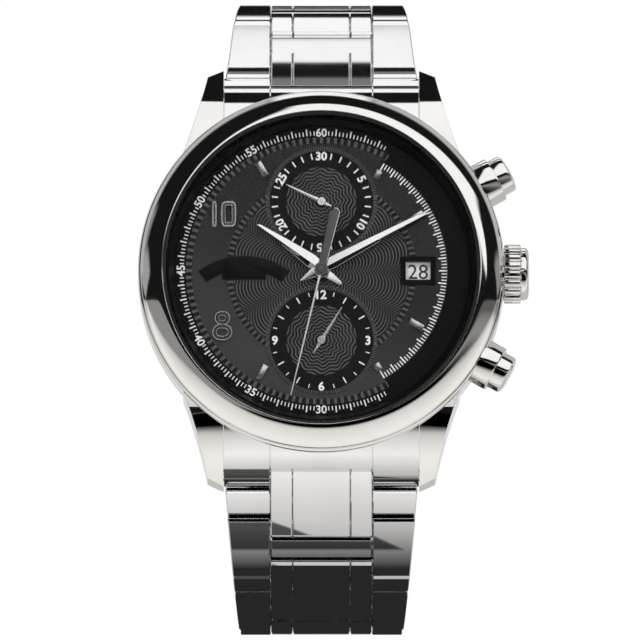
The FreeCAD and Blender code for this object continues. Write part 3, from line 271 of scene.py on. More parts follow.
def lettering(text, height, weight):
    """A word as a mesh about its own centre, height tall: (points, faces) with z from 0 to FIGURE_INK."""
    curve = bpy.data.curves.new("lettering", "FONT")
    curve.body = text
    curve.size = 1.0
    curve.offset = weight
    curve.resolution_u = 3
    curve.extrude = 0.5
    holder = bpy.data.objects.new("lettering", curve)
    mesh = bpy.data.meshes.new_from_object(holder)
    co = np.zeros(len(mesh.vertices) * 3)
    mesh.vertices.foreach_get("co", co)
    co = co.reshape(-1, 3)
    faces = [list(p.vertices) for p in mesh.polygons]
    bpy.data.objects.remove(holder)
    bpy.data.meshes.remove(mesh)
    co[:, 0] -= (co[:, 0].min() + co[:, 0].max()) / 2
    co[:, 1] -= (co[:, 1].min() + co[:, 1].max()) / 2
    scale = height / (co[:, 1].max() - co[:, 1].min())
    co[:, :2] *= scale
    co[:, 2] = (co[:, 2] + 0.5) * FIGURE_INK
    return co, faces


# ---- helpers for finishes ----
class Nodes:
    """A node tree written in one line per node."""

    def __init__(self, owner):
        owner.use_nodes = True
        self.tree = owner.node_tree
        self.tree.nodes.clear()

    def node(self, kind, inputs=(), **settings):
        n = self.tree.nodes.new(kind)
        for key, value in settings.items():
            setattr(n, key, value)
        for key, value in dict(inputs).items():
            if isinstance(value, bpy.types.NodeSocket):
                self.tree.links.new(value, n.inputs[key])
            else:
                n.inputs[key].default_value = value
        return n

    def math(self, operation, a, b=0.0, c=0.0):
        return self.node("ShaderNodeMath", {0: a, 1: b, 2: c}, operation=operation).outputs[0]

    def scaled(self, value, by, plus):
        return self.math("MULTIPLY_ADD", value, by, plus)

    def product(self, first, *others):
        for other in others:
            first = self.math("MULTIPLY", first, other)
        return first

    def but(self, value):
        """One minus the value."""
        return self.math("SUBTRACT", 1.0, value)

    def span(self, value, a, b, c=0.0, d=1.0, smooth=True):
        """Carries value from the range a..b to the range c..d."""
        kind = "SMOOTHSTEP" if smooth else "LINEAR"
        return self.node("ShaderNodeMapRange", {"Value": value, "From Min": a, "From Max": b,
                                                "To Min": c, "To Max": d}, interpolation_type=kind).outputs[0]

    def ray(self, kind):
        return self.node("ShaderNodeLightPath").outputs[f"Is {kind} Ray"]


class Finish(Nodes):
    """A material with one principled shader and patterns on Object coordinates."""

    def __init__(self, name):
        self.material = bpy.data.materials.new(name)
        super().__init__(self.material)
        self.out = self.node("ShaderNodeOutputMaterial")
        self.where = self.node("ShaderNodeTexCoord").outputs["Object"]

    def mapped(self, scale, rotation=(0, 0, 0)):
        return self.node("ShaderNodeMapping", {"Vector": self.where, "Scale": scale,
                                               "Rotation": rotation}).outputs[0]

    def noise(self, scale, vector=None, detail=3.0, rough=0.5):
        return self.node("ShaderNodeTexNoise", {"Vector": vector or self.where, "Scale": scale,
                                                "Detail": detail, "Roughness": rough}).outputs["Fac"]

    def blend(self, factor, a, b):
        """From colour a at factor 0 to colour b at factor 1."""
        return self.node("ShaderNodeMix", {0: factor, 6: (*a, 1), 7: (*b, 1)}, data_type="RGBA").outputs[2]

    def bump(self, height, strength, distance, normal=None):
        inputs = {"Height": height, "Strength": strength, "Distance": distance}
        if normal is not None:
            inputs["Normal"] = normal
        return self.node("ShaderNodeBump", inputs).outputs[0]

    def rounded(self, radius):
        """Normals that round off the edges by a radius."""
        return self.node("ShaderNodeBevel", {"Radius": radius}, samples=4).outputs[0]

    def done(self, **inputs):
        names = {k.replace("_", " "): v for k, v in inputs.items()}
        shader = self.node("ShaderNodeBsdfPrincipled", names)
        self.tree.links.new(shader.outputs[0], self.out.inputs[0])
        self.shader = shader
        return self.material


def polished_metal(name, light, dark, rough=0.05, edge=0.00008):
    """Mirror-polished metal: hairline swirls in the polish, faint clouding and softened edges."""
    f = Finish(name)
    hair = f.noise(5200, f.mapped((1, 0.05, 1), rotation=(0.3, 0.2, 0.9)), 2)
    cross = f.noise(4300, f.mapped((0.06, 1, 1), rotation=(0.1, 0.5, -0.6)), 2)
    tone = f.span(f.noise(160, detail=4), 0.3, 0.72)
    lines = f.scaled(f.math("MAXIMUM", hair, cross), 0.05, rough - 0.02)
    soft = f.rounded(edge)
    ripple = f.noise(95, detail=1)
    normal = f.bump(hair, 0.02, 0.00001, f.bump(ripple, 0.05, 0.00006, soft))
    return f.done(Base_Color=f.blend(tone, dark, light), Metallic=1.0, Roughness=f.math("MAXIMUM", lines, 0.02),
                  Normal=normal)


def brushed_metal(name, light, dark, rough=0.28, along=(1, 0.02, 1)):
    """Brushed metal: long fine grain along one direction, over faint clouding."""
    f = Finish(name)
    grain = f.noise(9000, f.mapped(along), 3, 0.6)
    cloud = f.noise(220, detail=3)
    soft = f.rounded(0.00006)
    normal = f.bump(grain, 0.22, 0.00001, soft)
    roughness = f.scaled(grain, 0.18, rough - 0.08)
    tone = f.scaled(grain, 0.7, f.product(cloud, 0.3))
    return f.done(Base_Color=f.blend(tone, dark, light), Metallic=1.0, Roughness=roughness, Normal=normal)


def lacquer(name, colour, lift, rough=0.1, speck=0.02, gloss=0.5, painted_sheen=False):
    """Glossy lacquer: a deep colour with a faint orange-peel surface and fine dust of pigment, and on the dial a
    painted sheen: the tone lightens along -z - x / 2, from 4 mm above the middle to 14 mm below it."""
    f = Finish(name)
    peel = f.noise(900, detail=2)
    dust = f.noise(14000, detail=2)
    cloud = f.noise(110, detail=3)
    tone = f.scaled(f.span(dust, 0.62, 0.8), speck * 10, f.product(cloud, 0.35))
    if painted_sheen:
        # painted sheen: the dial's colour lightens towards six and nine o'clock
        x, y, z = f.node("ShaderNodeSeparateXYZ", {0: f.where}).outputs
        fall = f.scaled(x, -0.5, f.product(z, -1.0))
        tone = f.math("ADD", tone, f.span(fall, -0.004, 0.014, 0.0, 0.8))
    return f.done(Base_Color=f.blend(tone, colour, lift), Roughness=f.scaled(peel, 0.05, rough),
                  Normal=f.bump(peel, 0.06, 0.00002), Specular_IOR_Level=gloss)


def print_ink(name, colour, shade, rough=0.5):
    """Thick printing ink: slightly uneven cover and a soft satin surface."""
    f = Finish(name)
    cover = f.noise(5200, detail=3)
    return f.done(Base_Color=f.blend(f.span(cover, 0.35, 0.6), shade, colour),
                  Roughness=f.scaled(cover, 0.15, rough), Normal=f.bump(cover, 0.15, 0.00001))


case_steel = polished_metal("polished_case_steel", (0.92, 0.91, 0.885), (0.88, 0.865, 0.835))
link_steel = polished_metal("polished_link_steel", (0.93, 0.93, 0.935), (0.89, 0.89, 0.9))
hand_steel = polished_metal("hand_steel", (0.92, 0.92, 0.91), (0.85, 0.85, 0.84), 0.12, 0.00002)
satin_hand = lacquer("satin_grey_hand", (0.075, 0.075, 0.072), (0.1, 0.1, 0.097), 0.45, 0.003, 0.3)
trim_steel = polished_metal("trim_steel", (0.8, 0.79, 0.77), (0.68, 0.67, 0.65), 0.26, 0.00003)
inner_steel = brushed_metal("brushed_inner_steel", (0.72, 0.71, 0.7), (0.5, 0.5, 0.49))
nickel = brushed_metal("nickel_plate", (0.8, 0.78, 0.74), (0.58, 0.56, 0.53), 0.25, (1, 1, 0.03))
cover_steel = brushed_metal("brushed_clasp_steel", (0.84, 0.84, 0.84), (0.7, 0.7, 0.7), 0.3, (0.02, 1, 1))
gilt = brushed_metal("gilt_wheels", (0.85, 0.66, 0.34), (0.62, 0.44, 0.2), 0.2)
# the dial's lacquer carries a painted sheen, lighter towards its lower left
dial_black = lacquer("black_dial_lacquer", (0.002, 0.002, 0.002), (0.034, 0.034, 0.035), 0.16, 0.003,
                     painted_sheen=True)
flange_black = lacquer("black_flange", (0.004, 0.004, 0.0045), (0.01, 0.01, 0.011), 0.35, 0.003, 0.15)
deep_black = lacquer("matt_black_counter", (0.005, 0.005, 0.005), (0.012, 0.012, 0.012), 0.5, 0.003, 0.25)
white_ink = print_ink("white_ink", (0.86, 0.86, 0.84), (0.7, 0.7, 0.69))
black_ink = print_ink("black_ink", (0.012, 0.012, 0.012), (0.03, 0.03, 0.03))
date_card = print_ink("white_date_card", (0.88, 0.88, 0.86), (0.8, 0.8, 0.78), 0.4)
rubber = lacquer("black_rubber", (0.012, 0.012, 0.012), (0.03, 0.03, 0.03), 0.7)


def engraved_black(name):
    """Black engine-turned ground with painted light: a painted highlight turns the crests grey and painted shade
    keeps the cuts black.
    """
    f = Finish(name)
    height = f.node("ShaderNodeAttribute", attribute_name="crest", attribute_type="GEOMETRY").outputs["Fac"]
    grain = f.noise(9000, detail=2)
    # painted highlight on the crests and painted shade in the cuts, set by the crest height
    colour = f.blend(f.span(height, 0.35, 1.0), (0.002, 0.002, 0.002), (0.115, 0.115, 0.117))
    rough = f.scaled(grain, 0.1, f.span(height, 0.1, 0.8, 0.6, 0.24))
    return f.done(Base_Color=colour, Roughness=rough,
                  Normal=f.bump(grain, 0.1, 0.000004), Specular_IOR_Level=0.6)


def sapphire(name, alpha):
    """Clear sapphire with an anti-reflective coat: mostly see-through, a weak clean reflection."""
    f = Finish(name)
    smear = f.noise(70, detail=4)
    return f.done(Base_Color=(0.97, 0.98, 1.0, 1), Transmission_Weight=1.0, IOR=1.12, Alpha=alpha,
                  Roughness=f.span(smear, 0.45, 0.8, 0.0, 0.03))


engraved = engraved_black("engraved_black")
crystal_glass = sapphire("sapphire_crystal", 0.1)
back_glass = sapphire("back_window_glass", 0.16)

FINISH = {
    "case_steel": case_steel, "bracelet_steel": link_steel, "sapphire": crystal_glass, "seal_rubber": rubber,
    "dial_black": dial_black, "silver_trim": trim_steel, "frame_black": flange_black, "date_white": date_card,
    "hand_steel": hand_steel, "seconds_grey": satin_hand, "movement_nickel": nickel,
    "movement_steel": inner_steel, "gilt_brass": gilt,
}
for part in frame["record"]["subparts"]:
    NODES[part["node"]].data.materials.clear()
    NODES[part["node"]].data.materials.append(FINISH[part["material_slot"]])
NODES["flange_ring"].data.materials[0] = flange_black
NODES["case_back_glass"].data.materials[0] = back_glass
NODES["clasp_cover"].data.materials[0] = cover_steel

# ---- bracelet: one piece for each row of links ----
ROWS = 9
LINK_PITCH = 5.9
LINK_HALF = 1.35
LINK_GAP = 0.10
LINK_CHAMFER = 0.28
LINK_CROWN = 0.15
EDGE = 0.13
CENTRE_HALF = 5.7
MIDDLE_HALF = 3.25
COLUMN_LINE = 0.06
HALF_START, HALF_END, TAPER = 10.9, 8.45, 1.6
LAST_ROW_ANGLE = {"upper": 156.0, "lower": 157.0}
PIN_RADIUS, BAR_RADIUS = 0.55, 0.4
FIRST_ROW_RISES = (0.12, 0.02)


def half_width(run):
    """Half the bracelet's width: end + (start - end) * (1 - run / length) ^ TAPER."""
    share = max(0.0, 1 - run / (LINK_PITCH * ROWS))
    return HALF_END + (HALF_START - HALF_END) * share ** TAPER


def link_outline(long, rise):
    """Side outline of a link: a slightly crowned face on top, round under the pins if it is long."""
    start = -LINK_HALF if long else LINK_HALF + LINK_GAP
    end = LINK_PITCH - start
    crown = rise * (end - start) / (LINK_PITCH + 2 * LINK_HALF)
    top = bow((end - LINK_CHAMFER, LINK_HALF), (start + LINK_CHAMFER, LINK_HALF), crown, 13)
    if long:
        under = np.concatenate([arc(0, 0, LINK_HALF, 180, 270, 9), arc(LINK_PITCH, 0, LINK_HALF, 270, 360, 9)])
    else:
        low = LINK_CHAMFER - LINK_HALF
        under = [[start, low], [start + LINK_CHAMFER, -LINK_HALF], [end - LINK_CHAMFER, -LINK_HALF], [end, low]]
    shoulder = LINK_HALF - LINK_CHAMFER
    return np.concatenate([top, [[start, shoulder]], under, [[end, shoulder]]])


def link(outline, left, right):
    """An outline carried along X between two sides given as (x at y=0, slope), with rounded ends."""
    def place(loop, at):
        x0 = left[0] + left[1] * loop[:, 0]
        x1 = right[0] + right[1] * loop[:, 0]
        share, push = at
        return np.column_stack([x0 + (x1 - x0) * share + push, loop])
    ends = [(0.0, EDGE), (0.25 * EDGE, 0.4 * EDGE), (EDGE, 0.0)]
    stations = [((0.0, push), cut) for push, cut in ends]
    stations += [((1.0, -push), cut) for push, cut in reversed(ends)]
    return carried(outline, stations, place)


def bar(radius, half, y):
    """A round bar along X with softened ends, as long on both sides of the middle."""
    end = half - 0.08
    line = [(0, -half), (radius - 0.08, -half), (radius, -end), (radius, end), (radius - 0.08, half), (0, half)]
    points, faces = turned(line, 20, False)
    return np.column_stack([points[:, 2], points[:, 0] + y, points[:, 1]]), faces


def row_of_links(number):
    """One row in its own frame: Y along the bracelet, Z outwards, the near pin at zero. Even rows have three
    long links in the middle and short ones outside, odd rows the other way round with one short link."""
    run = number * LINK_PITCH
    rise = FIRST_ROW_RISES[number] if number < 2 else LINK_CROWN
    long, short = link_outline(True, rise), link_outline(False, rise)
    line = COLUMN_LINE / 2
    if number % 2 == 0:
        inner, outer = long, short
        columns = [(-MIDDLE_HALF + line, MIDDLE_HALF - line), (MIDDLE_HALF + line, CENTRE_HALF),
                   (-CENTRE_HALF, -MIDDLE_HALF - line)]
        bars = [(BAR_RADIUS, run + 3, LINK_PITCH / 2)]
    else:
        inner, outer = short, long
        columns = [(-CENTRE_HALF, CENTRE_HALF)]
        bars = [(PIN_RADIUS, run + LINK_PITCH, LINK_PITCH), (PIN_RADIUS, run, 0)]
    parts = [link(inner, (x0, 0), (x1, 0)) for x0, x1 in columns]
    near, far = half_width(run - LINK_HALF), half_width(run + LINK_PITCH + LINK_HALF)
    slope = (far - near) / (LINK_PITCH + 2 * LINK_HALF)
    at_zero = near + slope * LINK_HALF
    parts.append(link(outer, (CENTRE_HALF + COLUMN_LINE, 0), (at_zero, slope)))
    parts.append(link(outer, (-at_zero, -slope), (-CENTRE_HALF - COLUMN_LINE, 0)))
    return join(parts + [bar(radius, half_width(at) - 0.02, y) for radius, at, y in bars])


def bracelet():
    """Every row, turned and set on its near pin as the joints say."""
    for side, sign in (("upper", 1), ("lower", -1)):
        pins = [HINGES[f"{side}_row_{i + 1}_hinge"]["pos_m"] for i in range(ROWS)]
        for i in range(ROWS):
            y0, z0 = pins[i][2] * 1000, -pins[i][1] * 1000
            if i + 1 < ROWS:
                y1, z1 = pins[i + 1][2] * 1000, -pins[i + 1][1] * 1000
                angle = math.atan2(z1 - z0, sign * (y1 - y0))
            else:
                angle = -math.radians(LAST_ROW_ANGLE[side])
            points, faces = row_of_links(i)
            y, z = points[:, 1].copy(), points[:, 2].copy()
            points[:, 1] = y0 + sign * (y * math.cos(angle) - z * math.sin(angle))
            points[:, 2] = z0 + y * math.sin(angle) + z * math.cos(angle)
            name = f"{side}_row_{i + 1}"
            row = piece(name + "_links", (points, faces), name, link_steel, "bracelet_steel", 24, False)
            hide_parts(name)


bracelet()

# ---- case: bezel, crystal, crown and pushers ----
DIAL_LEVEL = 9.4
SUBDIAL_Y = 7.9
SUBDIAL_FLOOR = 9.25
CONTROL_LEVEL = 7.2
PUSHER_ANGLE = 29.0


def bezel_ring():
    """Bezel section turned about Z: upright edge, broad slope that steepens outwards as a quadratic curve from
    31 to 48 degrees, a roll of 1.5 mm radius over the crest and an upright inner wall."""
    low, high = levels("bezel")
    inner, outer, base, top = 17.8, high[0], low[2], high[2]
    crest, roll = inner + 0.05, 1.5
    over = arc(crest, top - roll, roll, 59, 90, 10)
    start, end = over[0], np.array([outer - 0.08, base + 0.85])
    steep, flat = math.tan(math.radians(48)), math.tan(math.radians(31))
    knee_r = (start[1] - end[1] + flat * start[0] - steep * end[0]) / (flat - steep)
    knee = np.array([knee_r, start[1] - flat * (knee_r - start[0])])
    t = np.linspace(0, 1, 26)[:, None]
    slope = (1 - t) ** 2 * end + 2 * t * (1 - t) * knee + t ** 2 * start
    section = np.concatenate([
        [[inner, base], [outer - 0.1, base], [outer, base + 0.1], [outer, base + 0.74],
         [outer - 0.025, base + 0.8]], slope, over[1:], [[inner + 0.02, top - 0.02], [inner, top - 0.1]]])
    ring = piece("bezel_ring", turned(section, 288), "root", case_steel, "case_steel", 35)
    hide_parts("bezel")


def crystal_dome():
    """Domed sapphire turned about Z: a shallow sphere outside and a shallower one inside."""
    low, high = levels("crystal")
    radius, base, top = high[0], low[2], high[2]
    edge, inner, thickness = base + 1.2, radius - 1.0, 1.1

    def sphere(reach, start, rise, count):
        ball = (reach ** 2 + rise ** 2) / (2 * rise)
        r = np.linspace(reach, 0, count)
        return np.column_stack([r, start + rise - ball + np.sqrt(ball ** 2 - r ** 2)])
    outside = sphere(radius - 0.08, edge, top - edge, 30)
    inside = sphere(inner, base, top - thickness - base, 24)[::-1]
    section = np.concatenate([inside, [[inner + 0.02, base], [radius, base], [radius, edge - 0.08]], outside])
    glass = piece("crystal_dome", turned(section, 160, False), "root", crystal_glass, "sapphire", 40)
    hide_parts("crystal")


def along_axis(section, degrees, steps=96, flutes=0, depth=0.0, fluted=None):
    """A (distance from the case's centre, radius) line turned about a radial axis at the controls' height.
    With flutes, radius = r - depth * (1 - |cos(n a / 2)|) ^ 1.8 on the sections that are fluted."""
    section = np.asarray(section, float)
    a = around(steps)
    r = section[:, 1:] + 0 * a
    if flutes:
        cut = depth * (1 - np.abs(np.cos(flutes * a / 2))) ** 1.8
        r = r - cut * np.asarray(fluted, float)[:, None]
    x, y = section[:, :1] + 0 * a, r * np.cos(a)
    z = r * np.sin(a) + CONTROL_LEVEL
    t = math.radians(degrees)
    points = np.stack([x * math.cos(t) - y * math.sin(t), x * math.sin(t) + y * math.cos(t), z], -1)
    return points.reshape(-1, 3), quads(len(section), steps, False, True)


def crown_knob():
    """Crown: eighteen rounded flutes between two rims, then a stepped cap with a softly domed end."""
    low, high = levels("crown")
    x0, x1, radius = low[0], high[0], (high[1] - low[1]) / 2
    flute_end = x1 - 0.9
    section = [(x0 + 0.4, 0), (x0 + 0.4, 1.6), (x0, 1.7), (x0, radius - 0.45), (x0 + 0.02, radius - 0.3),
               (x0 + 0.06, radius - 0.14), (x0 + 0.12, radius - 0.04), (x0 + 0.22, radius),
               (flute_end - 0.2, radius), (flute_end - 0.09, radius - 0.04), (flute_end - 0.02, radius - 0.16),
               (flute_end, radius - 0.34), (flute_end + 0.04, radius - 0.42), (x1 - 0.42, radius - 0.42),
               (x1 - 0.2, radius - 0.52), (x1 - 0.06, radius - 0.76), (x1, radius - 1.1), (x1, 0)]
    fluted = [0, 0, 0, 0, 0.5, 0.8, 1, 1, 1, 1, 0.9, 0.4, 0, 0, 0, 0, 0, 0]
    knob = piece("crown_knob", along_axis(section, 0, 360, 18, 0.4, fluted), "crown", case_steel, "case_steel", 38)
    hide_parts("crown")


def pusher_pieces():
    """Each pusher: a turned sleeve in the case, bored deep enough for the travel, and a stepped, softly domed
    cap on its stem."""
    high = levels("pusher_tubes")[1]
    sleeve_radius = high[2] - CONTROL_LEVEL
    seat, sleeve_end, tip = 20.35, 22.45, 24.1
    root, bore_floor, shoulder = seat - 1.5, sleeve_end - 1.75, sleeve_end - 0.9
    cap, stem, bore = sleeve_radius - 0.43, 0.7, 0.8
    sleeves = []
    for name, sign in (("pusher_start", 1), ("pusher_reset", -1)):
        sleeve = [(root, bore), (root, 1.0), (seat - 0.02, 1.0), (seat - 0.02, sleeve_radius),
                  (sleeve_end - 0.22, sleeve_radius), (sleeve_end - 0.06, sleeve_radius - 0.08),
                  (sleeve_end, sleeve_radius - 0.24), (sleeve_end, cap + 0.06), (bore_floor, cap + 0.06),
                  (bore_floor, bore), (root, bore)]
        sleeves.append(along_axis(sleeve, sign * PUSHER_ANGLE))
        head = [(seat - 4.0, 0), (seat - 4.0, stem), (shoulder, stem), (shoulder, cap), (tip - 0.5, cap),
                (tip - 0.24, cap - 0.1), (tip - 0.08, cap - 0.38), (tip, cap - 0.8), (tip, 0)]
        button = piece(name + "_cap", along_axis(head, sign * PUSHER_ANGLE), name, case_steel, "case_steel", 38)
        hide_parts(name)
    tubes = piece("pusher_sleeves", join(sleeves), "root", case_steel, "case_steel", 38)
    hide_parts("pusher_tubes")


bezel_ring()
crystal_dome()
crown_knob()
pusher_pieces()

# ---- dial ----
COUNTER_RADIUS = 6.0
PETAL_PITCH = 0.333
ROSETTE_PITCH = 0.4
DATE_X = 10.85
TRACK_EDGE, TRACK_EDGE_BY_CONTROLS = 15.25, 14.2
QUARTER_SECONDS = 240


def engraved_sheet(name, radii, steps, crest, relief, base, centre=(0, 0), keep=None):
    """A ring-shaped engraved surface: height = base + relief * crest(r, angle), with a skirt at its rims. The
    crest is kept as an attribute, for the finish."""
    r, t = np.meshgrid(radii, around(steps), indexing="ij")
    c = crest(r, t)
    z = base + relief * c
    z[0] = z[-1] = DIAL_LEVEL - 0.2
    points = np.stack([r * np.cos(t) + centre[0], r * np.sin(t) + centre[1], z], -1).reshape(-1, 3)
    c = c.ravel()
    faces = quads(len(radii), steps, False, True)
    if keep is not None:
        middle = points[faces].mean(1)
        faces = faces[keep(middle[:, 0], middle[:, 1])]
        used = np.unique(faces)
        number = np.zeros(len(points), int)
        number[used] = np.arange(len(used))
        points, c, faces = points[used], c[used], number[faces]
    sheet = piece(name, (points, faces), "root", engraved, "dial_black", 180, False)
    layer = sheet.data.attributes.new("crest", "FLOAT", "POINT")
    layer.data.foreach_set("value", np.ascontiguousarray(c, dtype=np.float32))


def clear_of_counters(x, y):
    """True outside both counters and the date window."""
    outside = np.ones_like(x, bool)
    for sign in (1, -1):
        outside &= np.hypot(x, y - sign * SUBDIAL_Y) > COUNTER_RADIUS
    return outside & ~((np.abs(y) < 1.35) & (x > 9.2))


def by_the_controls(x, y):
    """True between one and five o'clock, where the track lies nearer the middle."""
    return np.degrees(np.arctan2(np.abs(y), x)) < 60


def petals(r, t):
    """Crests where r / (1 + 0.13 * (1 - u^2)) is a whole number of pitches, u going -1..1 over each 30 degrees."""
    u = 2 * ((np.degrees(t) / 30) % 1) - 1
    line = r / (1 + 0.13 * (1 - u ** 2))
    return (0.5 + 0.5 * np.cos(2 * math.pi * line / PETAL_PITCH)) ** 2.0


def rosette(r, t):
    """Crests where r - 0.15 * s * cos(12 a + 0.9 sin(1.7 r)) is a whole number of pitches, with s = r / 2.2 held
    between 0.35 and 1."""
    wave = np.cos(12 * t + 0.9 * np.sin(1.7 * r))
    line = r - 0.15 * wave * np.clip(r / 2.2, 0.35, 1)
    return (0.5 + 0.5 * np.cos(2 * math.pi * line / ROSETTE_PITCH)) ** 1.7


def teeth(count, share):
    """A square-edged wave round a ring: count teeth, each taking that share of its pitch, 0.75 high."""
    return lambda r, t: 0.75 / (1 + np.exp(-14 * (np.cos(count * t) - math.cos(math.pi * share))))


def engraving():
    """The dial's petals inside a toothed border, the track's toothed border, and in each counter a rosette and a
    toothed border."""
    engraved_sheet("petal_engraving", np.linspace(1.15, 9.95, 250), 432, petals, 0.035, DIAL_LEVEL + 0.005,
                   keep=clear_of_counters)
    engraved_sheet("petal_border", [10.0, 10.02, 10.1, 10.6, 10.68, 10.7], 1600, teeth(100, 0.45), 0.06,
                   DIAL_LEVEL + 0.01, keep=clear_of_counters)
    engraved_sheet("track_border", [14.55, 14.57, 14.6, 15.2, 15.23, TRACK_EDGE], 1200, teeth(120, 0.5), 0.03,
                   DIAL_LEVEL + 0.01, keep=lambda x, y: ~by_the_controls(x, y))
    for name, y in (("minute", SUBDIAL_Y), ("hour", -SUBDIAL_Y)):
        engraved_sheet(name + "_counter_rosette", np.linspace(0.5, 4.0, 110), 360, rosette, 0.05,
                       SUBDIAL_FLOOR + 0.005, (0, y))
        engraved_sheet(name + "_counter_border", [5.78, 5.8, 5.86, 6.2, 6.28, 6.3], 1500, teeth(150, 0.5), 0.04,
                       DIAL_LEVEL + 0.02, (0, y))


def counter_floors():
    """Matt black grounds: a flat disc in each counter, and a ring under the outer track whose inner edge comes
    in beside the controls."""
    a = around(720)
    round_dial = np.stack([np.cos(a), np.sin(a)], -1)
    beside = by_the_controls(np.cos(a), np.sin(a))
    inner = round_dial * np.where(beside, TRACK_EDGE_BY_CONTROLS, TRACK_EDGE)[:, None]
    outer = round_dial * 17.4
    low, high = DIAL_LEVEL - 0.02, DIAL_LEVEL + 0.003
    ring = hoop([(inner, low), (inner, high), (outer, high), (outer, low)])
    piece("track_ground", ring, "root", flange_black, "dial_black")
    low, high = SUBDIAL_FLOOR - 0.05, SUBDIAL_FLOOR + 0.004
    parts = []
    for sign in (1, -1):
        points, faces = turned([(0.3, low), (5.79, low), (5.79, high), (0.3, high)], 128)
        parts.append((points + (0, sign * SUBDIAL_Y, 0), faces))
    piece("counter_grounds", join(parts), "root", deep_black, "dial_black")


def tick(degrees, inner, outer, width, level, y=0.0):
    """One printed stroke: a flat box along a clock angle."""
    h = width / 2
    loop = oblong(-h, h, inner, outer)
    return aimed(capped([upright(loop, level), upright(loop, level + TICK_INK)]), degrees, y)


def figure(text, degrees, radius, height, level, turn=0.0, y=0.0, weight=0.02):
    """A printed figure at a clock angle; turn is its own direction."""
    points, faces = lettering(text, height, weight)
    a = math.radians(degrees)
    return clock(points, turn) + (radius * math.sin(a), radius * math.cos(a) + y, level), faces


def scales():
    """All the printed scales: the outer quarter-second track, its part nearer the middle beside the controls,
    and both counters."""
    top = DIAL_LEVEL + 0.005
    figures = {0: "60", 330: "55", 300: "50", 270: "45", 240: "40", 210: "35", 180: "30"}
    parts = []
    for number in range(QUARTER_SECONDS):
        degrees = number * 360 / QUARTER_SECONDS
        long = number % 4 == 0
        width = 0.15 if long else 0.11
        if 152.6 <= degrees or degrees <= 28:
            if not any(abs(degrees - m) < 2.9 for m in (*figures, 360)):
                parts.append(tick(degrees, 15.45, 16.2 if long else 15.92, width, top))
        if 30 <= degrees <= 150:
            parts.append(tick(degrees, 13.2 if long else 13.5, 14.1, width, top))
    for degrees, text in figures.items():
        turn = degrees if degrees in (0, 330, 300, 270) else degrees - 180
        parts.append(figure(text, degrees, 15.78, 0.95, top, turn))
    floor_level, tick_end, figure_radius = SUBDIAL_FLOOR + 0.006, 5.6, 5.22
    for minute in range(30):
        if minute % 5:
            parts.append(tick(minute * 12, 4.9, tick_end, 0.15, floor_level, SUBDIAL_Y))
    for number in (5, 10, 15, 20, 25, 30):
        degrees = number * 12 % 360
        parts.append(figure(str(number), degrees, figure_radius, 1.0, floor_level, degrees, SUBDIAL_Y, 0.03))
    for half in range(24):
        inner, width = (5.15, 0.1) if half % 2 else (4.85, 0.14)
        if half % 6:
            parts.append(tick(half * 15, inner, tick_end, width, floor_level, -SUBDIAL_Y))
    for text, degrees in (("12", 0), ("3", 90), ("6", 180), ("9", 270)):
        parts.append(figure(text, degrees, figure_radius, 1.05, floor_level, 0, -SUBDIAL_Y, 0.03))
    piece("printed_scales", join(parts), "root", white_ink, "silver_trim", 30, False)


def band_along(outer, inner, low, high):
    """A raised rim between two matching outlines, rounded on top: height follows half a circle across it."""
    profile = ((0, 0), (0, 0.75), (0.08, 0.93), (0.2, 1), (0.8, 1), (0.92, 0.93), (1, 0.75), (1, 0))
    return hoop([(outer + (inner - outer) * share, low + (high - low) * lift) for share, lift in profile])


def stadium(width, height, power):
    """An upright outline with round ends, by superellipse |x/a|^n + |y/b|^n = 1."""
    a = around(40)
    n = 2 / power
    return np.column_stack([width / 2 * np.sign(np.cos(a)) * np.abs(np.cos(a)) ** n,
                            height / 2 * np.sign(np.sin(a)) * np.abs(np.sin(a)) ** n])


def applied_hours():
    """Applied hour marks: bevelled batons, the figure 10 as rims round a grey filling and the figure 8 as rims
    round the dial's own black."""
    low, top = DIAL_LEVEL, DIAL_LEVEL + 0.3
    core_at, core_width = 0.42, 0.1
    marks, fills = [], {True: [], False: []}
    for degrees, outer, length in ((330, 14.3, 1.85), (210, 14.3, 1.85), (60, 13.2, 1.8), (120, 13.2, 1.8),
                                   (30, 13.15, 0.98), (150, 13.15, 0.98)):
        marks.append(aimed(slab(oblong(-0.37, 0.37, outer - length, outer), low, top, 0.1), degrees))
    for loop, x, y in ((stadium(0.56, 2.95, 6), -12.02, 6.45), (stadium(1.75, 2.95, 4), -10.42, 6.45),
                       (stadium(1.75, 1.6, 2.2), -11.12, -5.42), (stadium(2.25, 1.9, 2.3), -11.12, -7.03)):
        outer = loop + (x, y)
        rim = 0.22 if y > 0 else 0.15
        marks.append(band_along(outer, inset(outer, rim), low, top))
        wide = np.ptp(loop[:, 0]) > 1
        if wide:
            core = inset(outer, core_at)
            marks.append(band_along(core, inset(core, core_width), low, top))
        filled_to = core_at + 0.01 if wide else 0.25
        fills[y > 0].append(band_along(inset(outer, rim - 0.01), inset(outer, filled_to), low, top - 0.1))
    trim = piece("applied_hour_marks", join(marks), "root", trim_steel, "silver_trim", 28, False)
    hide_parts("applied_indices")
    piece("hour_mark_fillings", join(fills[False]), "root", dial_black, "dial_black", 30, False)
    piece("hour_mark_grey_fillings", join(fills[True]), "root", satin_hand, "seconds_grey", 30, False)


